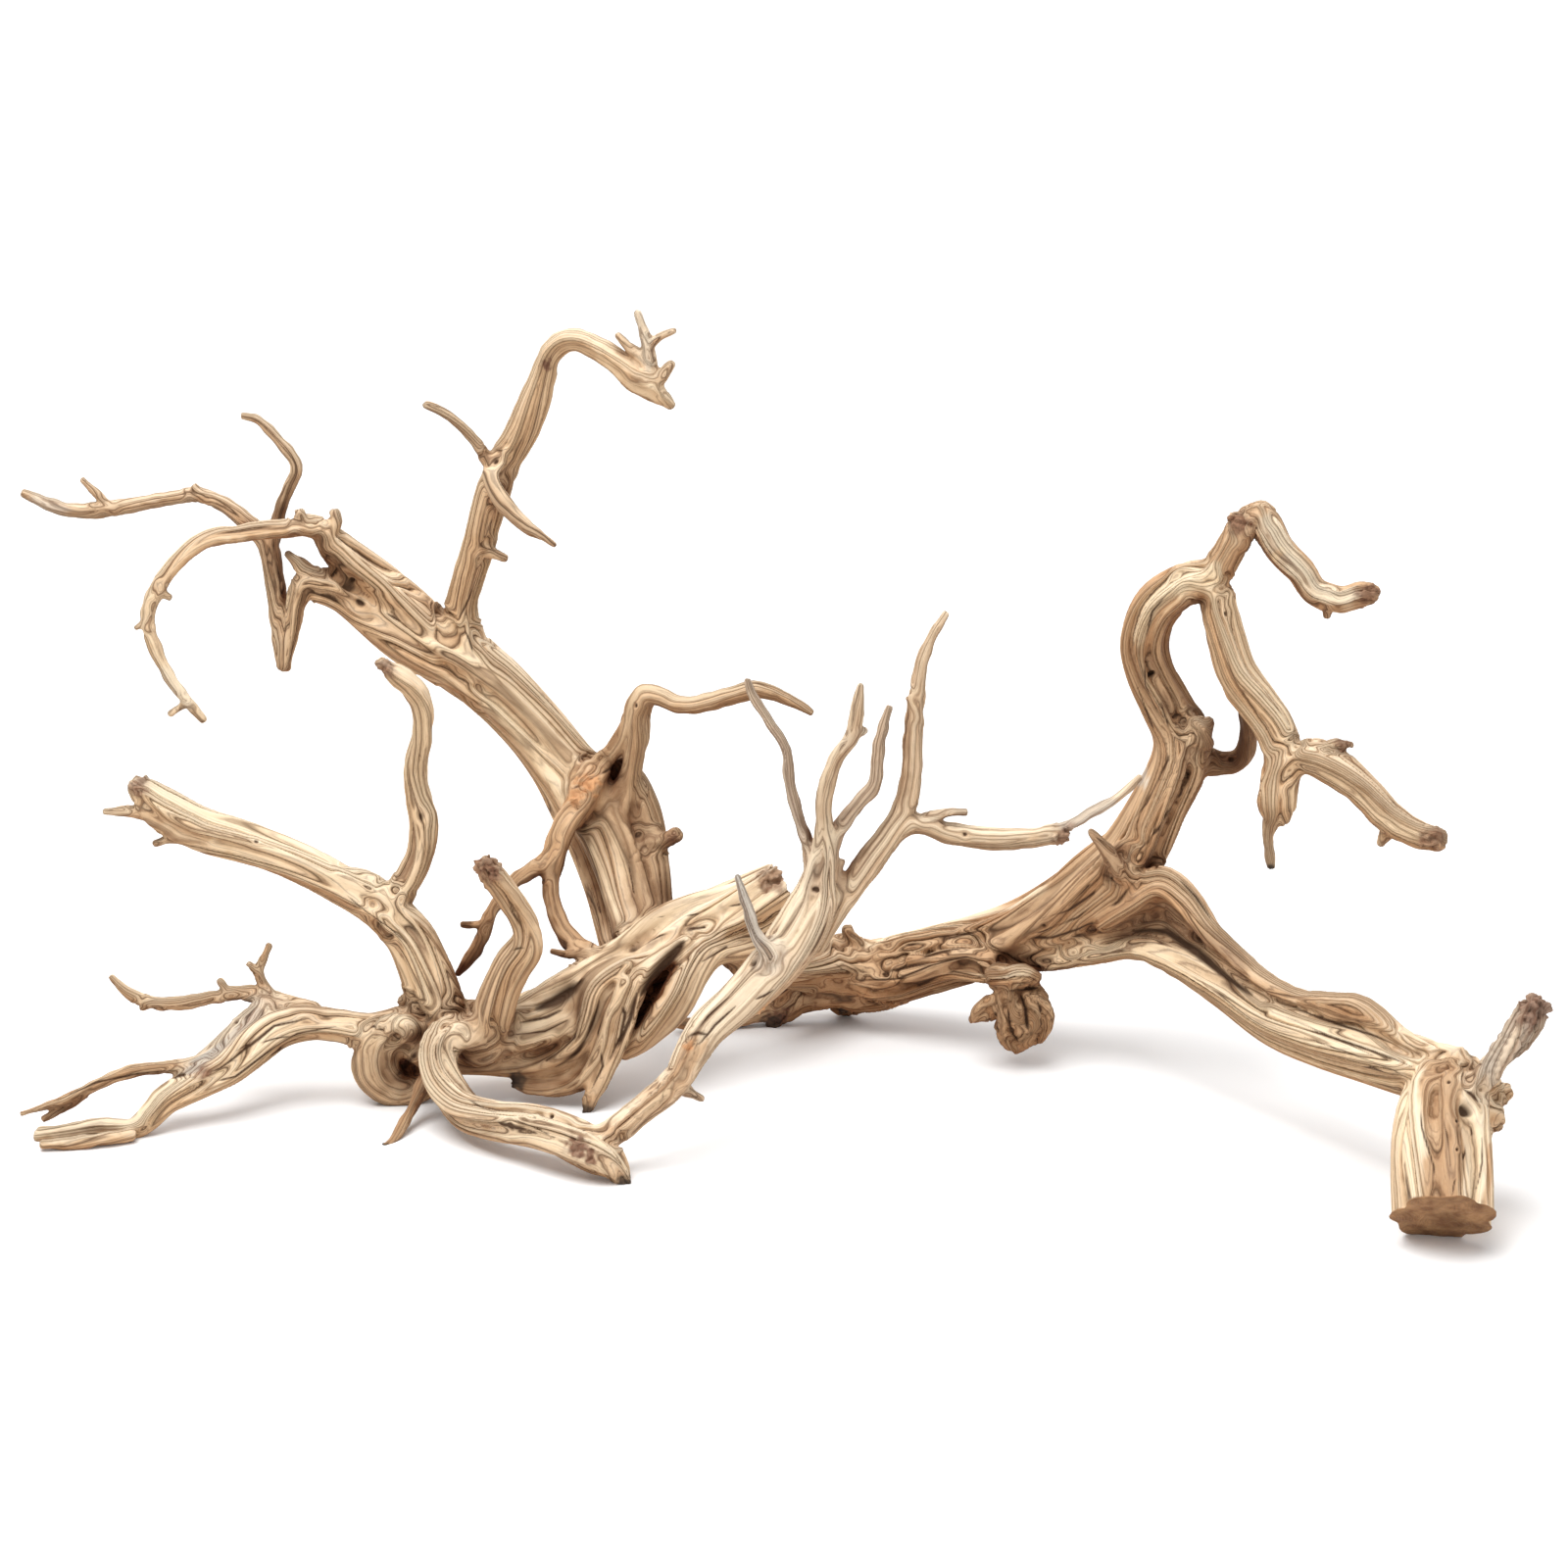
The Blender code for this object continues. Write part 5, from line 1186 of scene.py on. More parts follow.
def vertex_values(mesh, name):
    """A vertex vector of a mesh as an array."""
    values = np.zeros(len(mesh.vertices) * 3, np.float32)
    mesh.vertices.foreach_get(name, values)
    return values.reshape(-1, 3).astype(float)


def stored(mesh, name, width):
    """A stored value or vector of each vertex as an array."""
    values = np.zeros(len(mesh.vertices) * width, np.float32)
    mesh.attributes[name].data.foreach_get("vector" if width == 3 else "value", values)
    return values.reshape(-1, 3) if width == 3 else values


def store(mesh, name, values):
    """Writes an array to a mesh as a vertex attribute."""
    kind = "FLOAT_VECTOR" if values.ndim > 1 else "FLOAT"
    key = "vector" if values.ndim > 1 else "value"
    attribute = mesh.attributes.new(name, kind, "POINT")
    attribute.data.foreach_set(key, values.astype(np.float32).ravel())


def outward(mesh):
    """The outward direction at each vertex."""
    ways = np.zeros(len(mesh.vertices) * 3, np.float32)
    mesh.vertex_normals.foreach_get("vector", ways)
    return ways.reshape(-1, 3)


def edge_ends(mesh):
    """The numbers of the two points of every edge."""
    ends = np.zeros(len(mesh.edges) * 2, np.int32)
    mesh.edges.foreach_get("vertices", ends)
    return ends.reshape(-1, 2)


def neighbour_sums(ends, values):
    """For each point: the sum of its neighbours' values, column by column."""
    return np.column_stack([
        np.bincount(ends[:, 0], column[ends[:, 1]], len(values))
        + np.bincount(ends[:, 1], column[ends[:, 0]], len(values))
        for column in values.T
    ])


def seen_sky(wood, points, normals):
    """For each point: the share of its surroundings that is open, and the share that is open sky.
    Both set the painted shade and highlight.
    """
    tree = BVHTree.FromObject(wood, bpy.context.evaluated_depsgraph_get())
    turn = np.arange(SKY_RAYS) * pi * (3 - 5 ** 0.5)
    rise = 1 - 2 * (np.arange(SKY_RAYS) + 0.5) / SKY_RAYS
    ring = np.sqrt(1 - rise ** 2)
    rays = np.column_stack([ring * np.cos(turn), ring * np.sin(turn), rise])
    picked = np.arange(0, len(points), SKY_STRIDE)
    starts = (points + normals * SKY_LIFT)[picked]
    facing = normals[picked] @ rays.T
    ray_vectors = [Vector(ray) for ray in rays.tolist()]
    sums = np.zeros((len(picked), 3))
    for row, (start, shares) in enumerate(zip(starts.tolist(), facing)):
        for index in np.flatnonzero(shares > FLATTEST_RAY):
            share = shares[index]
            sums[row, 2] += share
            if tree.ray_cast(start, ray_vectors[index], SKY_REACH)[0] is None:
                sums[row, 0] += share
                if rise[index] > 0:
                    sums[row, 1] += share
    spread = np.zeros((len(points), 3))
    spread[picked] = sums
    ends = edge_ends(wood.data)
    for _ in range(SKY_SPREADS):
        spread = (spread + neighbour_sums(ends, spread)) / 5
    total = np.maximum(spread[:, 2], 1e-9)
    return spread[:, 0] / total, spread[:, 1] / total


def flowing(grain, warm):
    """The grain's coordinates, made to wander along a limb, with short waves on warm wood."""
    flat = np.zeros(len(grain))
    slow = grain * WANDER_STRETCH
    wander = np.column_stack([noise_at(slow, WANDER_SIDE), noise_at(slow, WANDER_RISE), flat])
    flow = grain + WANDER_WIDTH * wander
    quick = flow * WAVE_STRETCH
    wavy = np.clip(0.4 + 1.6 * noise_at(flow, WAVY_PLACES), 0.05, 1.0)[:, None]
    waves = np.column_stack([noise_at(quick, WAVE_SIDE), noise_at(quick, WAVE_RISE), flat])
    return flow + WAVE_WIDTH * (0.4 + 0.45 * warm)[:, None] * wavy * waves


def rings_of(flow):
    """Rings of growth: a smooth count that the surface cuts in long parallel lines."""
    long = flow * RING_STRETCH
    return RING_COUNT * noise_at(long, BROAD_RINGS) + RING_WAVER * noise_at(long, CLOSE_RINGS)


def ridge_between(rings):
    """0 in a groove and 1 on the ridge between two grooves, which lie half way between rings."""
    return np.abs(rings % 1.0 - 0.5) * 2


def crowding(mesh, points, rings):
    """Rings to a millimetre across the surface at each point."""
    first, second = edge_ends(mesh).T
    step = np.linalg.norm(points[first] - points[second], axis=1) / MM
    steepness = np.abs(rings[first] - rings[second]) / np.maximum(step, 0.2)
    total = np.zeros(len(points))
    count = np.full(len(points), 1e-9)
    for side in (first, second):
        total += np.bincount(side, steepness, len(points))
        count += np.bincount(side, minlength=len(points))
    return 1.4 * total / count


def grooves(points, rings, crowd, field, shape):
    """The height of the ridges between the rings' grooves, and how strong the grooves are."""
    warm = field.tint[:, 1]
    thick = field.radius / THICK_LIMB
    broad = np.clip(thick, 0.25, 1.25) * (1 + 0.7 * warm) * np.clip(1.8 - 1.9 * crowd, 0.1, 1)
    narrow = np.clip(1.4 * thick - 0.3, 0.1, 1.1) * (1 + 0.7 * warm)
    narrow = narrow * np.clip(1.7 - 3.2 * crowd, 0, 1)
    uneven = noise_at(field.grain * STRENGTH_STRETCH, GROOVE_STRENGTH)
    strength = np.clip(0.85 + 1.1 * uneven, 0.4, 1.3)
    wide = np.sqrt(ridge_between((rings + 0.5) / 2)) - 1
    close = np.sqrt(ridge_between(rings)) - 1
    height = shape.groove_depth * broad * strength * wide
    height += shape.fine_depth * narrow * strength * close
    height += shape.swell * np.clip(thick, 0.2, 1.1) * noise_at(field.grain, SWELLS)
    knobbly = np.clip(1.1 - thick, 0, 0.8) * np.minimum(0.3 * field.radius, KNOBBLE_HEIGHT)
    height += knobbly * noise_at(points / MM, KNOBBLES)
    return height, strength * np.clip(2.0 - 1.7 * crowd, 0.12, 1)


def calmed(wood, points):
    """What the grooves' strength is multiplied by at each point."""
    share = np.ones(len(points))
    for spot, size, left in seen_places(wood, CALM):
        near, far = spot_gap(points, spot, 2 * size * MM)
        share[near] *= 1 - (1 - left) * fading(far / (size * MM), 1, 7)
    return share


class Relief(NamedTuple):
    """How far each vertex moves along its normal, and the masks that colour it."""

    height: np.ndarray
    push: np.ndarray
    hollow_dirt_and_shade: np.ndarray
    bark: np.ndarray
    raw: np.ndarray
    char: np.ndarray
    rings: np.ndarray
    strength: np.ndarray


def raised(mask, near, share):
    """Raises a mask at some of its points to a share, where it is lower."""
    mask[near] = np.maximum(mask[near], share)


def sink_knots(wood, points, relief):
    """Pits with a low rim."""
    for spot, size, deep in seen_places(wood, KNOT_HOLES):
        near, far = spot_gap(points, spot, 4 * size * MM)
        far = far / (size * MM)
        pit = fading(far, 0.8, 7)
        rim = bump_shape((far - 1.6) / 0.7)
        relief.height[near] += (0.35 * size ** 0.5 * rim - deep * pit) * MM
        # Knot pits are marked for dirt and painted shade
        raised(relief.hollow_dirt_and_shade, near, pit * 1.3)


def open_splits(wood, points, relief):
    """Cuts pushed straight in from the front, widest at their middle."""
    for line, size, deep in SPLITS:
        spots = seen_line(wood, line)
        if len(spots) < 2:
            continue
        near, far, place = line_gap(points, spots, 4 * size * MM)
        width = 0.25 + 0.75 * np.sqrt(np.sin(pi * place))
        cut = bump_shape(0.8 * far / (size * MM * width)) * np.sqrt(width)
        relief.push[near] += np.outer(deep * cut * MM, sight_way(*line[len(line) // 2]))
        # The split is marked for dirt and painted shade
        raised(relief.hollow_dirt_and_shade, near, cut * 1.15)
        relief.height[near] *= 1 - 0.7 * cut


def crease_folds(wood, points, flow, relief):
    """Patches of short deep creases."""
    for spot, size, deep in seen_places(wood, FOLDS):
        near, far = spot_gap(points, spot, 1.8 * size * MM)
        patch = fading(far / (size * MM), 1, 6)
        waves = noise_at(flow[near] * CREASE_STRETCH, CREASES)
        waves += 0.5 * noise_at(points[near] / MM, CREASE_WAVER)
        crease = 1 - np.sqrt(np.clip(np.abs(waves) * 4, 0, 1))
        relief.height[near] += patch * (0.35 - crease) * deep * MM
        # Crease bottoms are marked for dirt and painted shade
        raised(relief.hollow_dirt_and_shade, near, 0.65 * patch * crease ** 1.5)


def lay_scars(wood, points, relief):
    """Lumpy patches of bark or torn wood."""
    for spot, size, kind in seen_places(wood, SCARS):
        near, far = spot_gap(points, spot, 2.5 * size * MM)
        here = points[near] / MM
        patch = fading(far / (size * MM) + 0.9 * noise_at(here, SCAR_EDGE), 0.9, 8)
        raised(relief.bark if kind == BARK else relief.raw, near, patch)
        relief.height[near] += patch * noise_at(here, SCAR_LUMPS) * 2.4 * MM
        if kind == BARK:
            pits = np.clip(0.5 + 2 * noise_at(here, BARK_PITS), 0, 1)
            # Bark pits are marked for dirt and painted shade
            raised(relief.hollow_dirt_and_shade, near, 0.8 * patch * pits)


def break_ends(wood, points, relief):
    """Ends with brown teeth."""
    for spot, size, tooth in seen_places(wood, BROKEN_ENDS):
        near, far = spot_gap(points, spot, 2 * size * MM)
        here = points[near] / MM
        patch = fading(far / (size * MM) + 0.45 * noise_at(here, BREAK_EDGE), 0.8, 7)
        raised(relief.bark, near, 0.9 * patch)
        teeth = noise_at(here, LONG_TEETH) + 0.6 * noise_at(here, SHORT_TEETH)
        relief.height[near] += patch * tooth * teeth * 2.2 * MM


def darken_tips(wood, points, relief):
    """Darkened tips, most of them with painted contact shadow where they rest on the floor."""
    for spot, size in seen_places(wood, DARKENED_TIPS):
        near, far = spot_gap(points, spot, 2.5 * size * MM)
        here = points[near] / MM
        patch = fading(far / (size * MM) + 0.6 * noise_at(here, DARK_TIP_EDGE), 1, 6)
        # Tips darkened: painted contact shadow where they rest on the floor
        raised(relief.char, near, patch)
        relief.height[near] += patch * 0.8 * noise_at(here, DARK_TIP_LUMPS) * MM


def relief_of(wood, points, field, shape):
    """All the carving of the skin, from the broad swells to knot holes and broken ends."""
    rings = rings_of(field.grain)
    crowd = crowding(wood.data, points, rings)
    height, strength = grooves(points, rings, crowd, field, shape)
    calm = calmed(wood, points)
    push = np.zeros((len(points), 3))
    hollow_dirt_and_shade, bark, raw, char = np.zeros((4, len(points)))
    relief = Relief(
        height * (0.5 + 0.5 * calm), push, hollow_dirt_and_shade, bark, raw, char, rings, strength * calm,
    )
    sink_knots(wood, points, relief)
    open_splits(wood, points, relief)
    crease_folds(wood, points, field.grain, relief)
    lay_scars(wood, points, relief)
    break_ends(wood, points, relief)
    darken_tips(wood, points, relief)
    np.clip(hollow_dirt_and_shade, 0, 1, out=hollow_dirt_and_shade)
    return relief


def evened(mesh, points, share):
    """Points drawn towards the middle of their neighbours, by a share for each."""
    ends = edge_ends(mesh)
    count = np.bincount(ends.ravel(), minlength=len(points))[:, None]
    for _ in range(EVENING_ROUNDS):
        middle = neighbour_sums(ends, points) / count
        points = points + (middle - points) * share
    return points


class SawnCut(NamedTuple):
    """The sawn end: its middle, the way that it faces, its surface, and how sawn each point is."""

    middle: np.ndarray
    way: np.ndarray
    surface: np.ndarray
    close: np.ndarray
    share: np.ndarray


def sawn_cut(points, block):
    """The cut through the end of a limb, tilted to show from the front."""
    middle, radius = block.centres[-1], block.radii[-1]
    way = middle - block.centres[-2]
    way /= np.linalg.norm(way)
    front = -sight(*SAWN_PLACE)[1]
    front -= way * (front @ way)
    front /= np.linalg.norm(front)
    gap = points - middle
    height_up = (gap @ front / radius + 1) / 2
    waves = SAWN_ROUGHNESS * noise_at(points / MM, SAW_WAVES)
    surface = np.minimum(waves - SAWN_TILT * np.clip(height_up, 0, 1.2), 0)
    close = np.linalg.norm(gap, axis=1) < SAWN_WIDTH * radius
    past = gap @ way - surface
    share = np.where(close, np.clip((past + SAWN_REACH) / SAWN_REACH, 0, 1), 0)
    return SawnCut(middle, way, surface, close, share)


def pressed(points, cut):
    """Points past the cut, brought back almost to it."""
    past = (points - cut.middle) @ cut.way - cut.surface
    back = np.where(cut.close, np.maximum(past, 0) * SAWN_PRESS, 0)
    return points - back[:, None] * cut.way


def carve(wood, shape):
    """Carves the skin along the grain and stores what the wood's material reads."""
    mesh = wood.data
    points = vertex_values(mesh, "co")
    normals = outward(mesh).astype(float)
    routes = grain_routes()
    field = field_of(bent_places(wood, points), routes)
    flow = flowing(field.grain, field.tint[:, 1])
    field = WoodField(flow, field.radius, stroked(wood, points, flow, field.tint))
    open_share, sky_share = seen_sky(wood, points, normals)
    relief = relief_of(wood, points, field, shape)
    cut = sawn_cut(points, next(route for route in routes if route.name in SAWN_LIMBS))
    kept = (1 - cut.share)[:, None]
    points = points + normals * relief.height[:, None] * kept + relief.push * kept
    points = pressed(points, cut)
    pushed = np.linalg.norm(relief.push, axis=1)[:, None] / EVENING_PUSH
    points = evened(mesh, points, np.clip(pushed, 0, EVENING_MOST) * kept)
    points[:, 2] = np.maximum(points[:, 2], 0)
    mesh.vertices.foreach_set("co", points.astype(np.float32).ravel())
    mesh.update()
    store(mesh, "grain", field.grain)
    store(mesh, "rings_open_sky", np.column_stack([relief.rings, open_share, sky_share]))
    store(mesh, "strength", relief.strength)
    store(mesh, "hollow_dirt_and_shade", relief.hollow_dirt_and_shade * (1 - cut.share))
    store(mesh, "pale_warm_dark", field.tint[:, :3])
    store(mesh, "silver", field.tint[:, 3])
    store(mesh, "bark_raw_dark_tip", np.column_stack([relief.bark, relief.raw, relief.char]))
    store(mesh, "sawn", cut.share)
    store(mesh, "shading", outward(mesh))


def stretch_of(wood, low, high, name):
    """A mesh of the faces near the stretch between two upright planes, with their values."""
    mesh = wood.data
    points = vertex_values(mesh, "co")
    corners = np.zeros(len(mesh.loops), np.int32)
    mesh.loops.foreach_get("vertex_index", corners)
    corners = corners.reshape(-1, 4)
    inside = (points[:, 0] > low - PARTING_MARGIN) & (points[:, 0] < high + PARTING_MARGIN)
    faces = corners[inside[corners].all(axis=1)]
    used = np.unique(faces)
    renumbered = np.zeros(len(points), np.int32)
    renumbered[used] = np.arange(len(used))
    part = bpy.data.meshes.new(name)
    part.from_pydata(points[used].tolist(), [], renumbered[faces].tolist())
    for key, width in STORED.items():
        store(part, key, stored(mesh, key, width)[used])
    return part


def parted(wood, low, high, name):
    """A closed copy of the stretch of wood between two upright planes."""
    mesh = stretch_of(wood, low, high, name)
    bm = bmesh.new()
    bm.from_mesh(mesh)
    for x, way in ((low, -1), (high, 1)):
        if not np.isfinite(x):
            continue
        bmesh.ops.bisect_plane(
            bm, geom=[*bm.verts, *bm.edges, *bm.faces], dist=1e-7,
            plane_co=(x, 0, 0), plane_no=(way, 0, 0), clear_outer=True,
        )
        rim = [e for e in bm.edges if e.is_boundary and abs(e.verts[0].co.x - x) < 1e-6]
        bmesh.ops.holes_fill(bm, edges=rim, sides=0)
    bm.to_mesh(mesh)
    bm.free()
    piece = bpy.data.objects.new(name, mesh)
    bpy.context.scene.collection.objects.link(piece)
    mesh.shade_smooth()
    mesh.normals_split_custom_set_from_vertices(stored(mesh, "shading", 3).tolist())
    mesh.attributes.remove(mesh.attributes["shading"])
    return piece


# Materials

def joined(tree, step, values):
    """Sets a step's inputs, by number, to numbers or to sockets."""
    for index, value in values.items():
        if isinstance(value, bpy.types.NodeSocket):
            tree.links.new(value, step.inputs[index])
        else:
            step.inputs[index].default_value = value


def mixed(tree, share, first, second, way="MIX"):
    """The colour socket of a mix of two colours, by a share that is a number or a socket."""
    mix = tree.nodes.new("ShaderNodeMix")
    mix.data_type = "RGBA"
    mix.blend_type = way
    joined(tree, mix, {0: share, 6: first, 7: second})
    return mix.outputs[2]


def worked(tree, operation, first, second=0.0, third=0.0, clamp=False):
    """The output of a maths step on sockets or numbers."""
    step = tree.nodes.new("ShaderNodeMath")
    step.operation = operation
    step.use_clamp = clamp
    joined(tree, step, {0: first, 1: second, 2: third})
    return step.outputs[0]


def multiplied(tree, first, second, clamp=False):
    """The product of two sockets or numbers."""
    return worked(tree, "MULTIPLY", first, second, clamp=clamp)


def ranged(tree, value, low, high, to_low=0.0, to_high=1.0):
    """A value moved from one range to another and kept inside it."""
    step = tree.nodes.new("ShaderNodeMapRange")
    joined(tree, step, {0: value, 1: low, 2: high, 3: to_low, 4: to_high})
    return step.outputs[0]


def read(tree, name):
    """The sockets of an attribute node that reads the wood's own values."""
    reader = tree.nodes.new("ShaderNodeAttribute")
    reader.attribute_name = name
    return reader.outputs


def split(tree, vector):
    """The three parts of a vector socket."""
    parts = tree.nodes.new("ShaderNodeSeparateXYZ")
    tree.links.new(vector, parts.inputs[0])
    return parts.outputs


def noise_socket(tree, vector, scale, detail=2.0, roughness=0.55, distortion=0.0):
    """The value of a noise pattern on a vector."""
    pattern = tree.nodes.new("ShaderNodeTexNoise")
    joined(tree, pattern, {
        "Vector": vector, "Scale": scale, "Detail": detail, "Roughness": roughness,
        "Distortion": distortion,
    })
    return pattern.outputs["Fac"]


def stretched(tree, vector, along):
    """The grain's coordinates with their length squeezed further."""
    step = tree.nodes.new("ShaderNodeMapping")
    joined(tree, step, {"Vector": vector, "Scale": (1, 1, along)})
    return step.outputs[0]


def rgba(colour):
    """A colour property as four numbers."""
    return (*colour[:3], 1.0)


def ridge_of(tree, value, rate, start):
    """0 in a groove and 1 on the ridge between two, for a socket that counts the rings."""
    counted = worked(tree, "MULTIPLY_ADD", value, rate, start)
    swing = worked(tree, "PINGPONG", counted, 0.5)
    return worked(tree, "MULTIPLY_ADD", swing, -2.0, 1.0)


class Finish(NamedTuple):
    """The sockets that the wood's colour and bump are worked out from."""

    hollow_dirt_and_shade: object
    silver: object
    sawn: object
    strength: object
    pale: object
    warm: object
    dark: object
    bark: object
    raw: object
    char: object
    rings: object
    open_share: object
    sky: object
    bands: object
    streaks: object
    lines: object
    fibres: object
    ridge: object
    strand: object
    tone: object


def finish_sockets(tree):
    """The wood's stored values, its noises, and its ridges: broad ones and fine strands."""
    singles = [read(tree, name)["Fac"] for name in ("hollow_dirt_and_shade", "silver", "sawn", "strength")]
    triples = ("pale_warm_dark", "bark_raw_dark_tip", "rings_open_sky")
    threes = [part for name in triples for part in split(tree, read(tree, name)["Vector"])]
    rings = threes[6]
    grain = read(tree, "grain")["Vector"]
    bands = noise_socket(tree, stretched(tree, grain, 0.5), 0.09, 2.0, 0.5, 0.4)
    streaks = noise_socket(tree, stretched(tree, grain, 0.6), 0.3, 3.0, 0.6, 0.3)
    lines = noise_socket(tree, stretched(tree, grain, 0.6), 0.95, 4.0, 0.65)
    fibres = noise_socket(tree, stretched(tree, grain, 0.8), 2.6, 3.0, 0.7)
    ridge = ridge_of(tree, rings, 1.0, 0.0)
    waver = worked(tree, "MULTIPLY_ADD", lines, 0.7, multiplied(tree, rings, 3.0))
    strand = ridge_of(tree, waver, 1.0, 0.0)
    number = worked(tree, "FLOOR", worked(tree, "ADD", rings, 0.5))
    tone = tree.nodes.new("ShaderNodeTexWhiteNoise")
    tone.noise_dimensions = "1D"
    tree.links.new(number, tone.inputs["W"])
    return Finish(
        *singles, *threes, bands, streaks, lines, fibres, ridge, strand, tone.outputs["Value"],
    )


def limb_colour(tree, wood, colours):
    """Tan and cream rings, tinted by the limb: cream, orange-brown, umber or silver."""
    light = worked(tree, "MULTIPLY_ADD", wood.tone, 0.36, wood.bands)
    colour = mixed(tree, ranged(tree, light, 0.46, 0.98), rgba(colours.tan), rgba(colours.cream))
    for tint, share, over in (
        (wood.pale, ranged(tree, wood.streaks, 0.35, 0.6, 0.35, 1.0), colours.cream),
        (wood.warm, ranged(tree, light, 0.5, 0.95, 1.0, 0.55), colours.warm),
        (wood.dark, ranged(tree, wood.streaks, 0.3, 0.65, 1.0, 0.45), colours.umber),
        (wood.silver, ranged(tree, wood.bands, 0.3, 0.6, 0.6, 1.0), colours.silver),
    ):
        colour = mixed(tree, multiplied(tree, tint, share), colour, rgba(over))
    return colour


def lined_colour(tree, wood, colours, colour):
    """The colour with brown streaks, grooves and lines, and a few bright fibres."""
    strand = ranged(tree, wood.strand, 0.4, 0.04, 0.0, 0.6)
    for share, over in (
        (ranged(tree, wood.streaks, 0.4, 0.27, 0.0, 0.45), colours.brown),
        (ranged(tree, wood.ridge, 0.5, 0.05, 0.0, 0.42), colours.brown),
        (multiplied(tree, strand, wood.strength, clamp=True), colours.brown),
        (ranged(tree, wood.fibres, 0.46, 0.28, 0.0, 0.35), colours.brown),
        (ranged(tree, wood.fibres, 0.55, 0.75, 0.0, 0.25), colours.cream),
    ):
        colour = mixed(tree, share, colour, rgba(over))
    return colour


def painted_light_colour(tree, wood, colours, colour):
    """The colour with painted light: a painted highlight on ridges that face the sky, and painted
    shade below and in sheltered places; cracks get dirt and painted shade.
    """
    tinted = worked(tree, "ADD", worked(tree, "ADD", wood.warm, wood.dark), wood.silver)
    # Painted highlight: ridges that face the sky are mixed towards light cream, least on tinted wood
    painted_highlight = multiplied(tree, ranged(tree, wood.sky, 0.42, 0.88, 0.0, 0.85), wood.ridge)
    painted_highlight = multiplied(tree, painted_highlight, ranged(tree, tinted, 0.2, 0.9, 1.0, 0.15))
    # Groove bottoms get the hollow colour: dirt and painted shade
    crack = ranged(tree, wood.ridge, 0.2, 0.02, 0.0, 0.66)
    for share, over, way in (
        (painted_highlight, colours.sky_highlight, "MIX"),
        # Painted shade: undersides that see little sky are darkened
        (ranged(tree, wood.sky, 0.5, 0.05, 0.0, 0.8), colours.underside_shade, "MULTIPLY"),
        (multiplied(tree, crack, wood.strength, clamp=True), colours.hollow_dirt_and_shade, "MIX"),
        # Painted shade: places hemmed in by the wood itself are darkened
        (ranged(tree, wood.open_share, 0.84, 0.34, 0.0, 0.95), colours.closed, "MULTIPLY"),
    ):
        colour = mixed(tree, share, colour, rgba(over), way)
    return colour


def scarred_colour(tree, wood, colours, colour):
    """The colour with hollows dark with dirt and painted shade, torn places, bark, tips darkened
    with painted contact shadow and the sawn end.
    """
    for share, over in (
        # Hollows darkened: dirt and painted shade
        (ranged(tree, wood.hollow_dirt_and_shade, 0.2, 0.9, 0.0, 0.95), colours.hollow_dirt_and_shade),
        (multiplied(tree, wood.raw, 0.8), colours.raw),
        (multiplied(tree, wood.bark, 0.85), colours.bark),
        # Darkened tips: painted contact shadow where they rest on the floor
        (multiplied(tree, wood.char, 0.9), colours.char),
    ):
        colour = mixed(tree, share, colour, rgba(over))
    place = tree.nodes.new("ShaderNodeTexCoord").outputs["Object"]
    stains = ranged(tree, noise_socket(tree, place, 90.0, 3.0, 0.6), 0.35, 0.65)
    cut_face = mixed(tree, stains, rgba(colours.sawn), rgba(colours.sawn_dark))
    return mixed(tree, wood.sawn, colour, cut_face)


def grain_bump(tree, wood):
    """The height of the grain: broad ridges, strands, lines and fibres."""
    height = worked(tree, "MULTIPLY_ADD", wood.lines, 0.3, multiplied(tree, wood.fibres, 0.2))
    for ridge, share in ((wood.strand, 0.45), (wood.ridge, 0.7)):
        height = worked(tree, "MULTIPLY_ADD", worked(tree, "SQRT", ridge), share, height)
    return height


def wood_material(colours):
    """Bare weathered wood: bands and lines along the grain, painted highlight and painted shade,
    hollows dark with dirt and painted shade, scars and sawn end.
    """
    material = bpy.data.materials.new("weathered_wood")
    material.use_nodes = True
    tree = material.node_tree
    shader = tree.nodes["Principled BSDF"]
    wood = finish_sockets(tree)
    colour = limb_colour(tree, wood, colours)
    colour = lined_colour(tree, wood, colours, colour)
    colour = painted_light_colour(tree, wood, colours, colour)
    colour = scarred_colour(tree, wood, colours, colour)
    tree.links.new(colour, shader.inputs["Base Color"])
    tree.links.new(ranged(tree, wood.lines, 0.3, 0.7, 0.88, 0.66), shader.inputs["Roughness"])
    shader.inputs["Specular IOR Level"].default_value = 0.25
    bump = tree.nodes.new("ShaderNodeBump")
    bump.inputs["Strength"].default_value = 0.9
    bump.inputs["Distance"].default_value = 0.0012
    tree.links.new(grain_bump(tree, wood), bump.inputs["Height"])
    tree.links.new(bump.outputs["Normal"], shader.inputs["Normal"])
    return material


def plain_material(name, colour, roughness):
    """A plain matt material."""
    material = bpy.data.materials.new(name)
    material.use_nodes = True
    shader = material.node_tree.nodes["Principled BSDF"]
    shader.inputs["Base Color"].default_value = rgba(colour)
    shader.inputs["Roughness"].default_value = roughness
    return material


# What a user can change

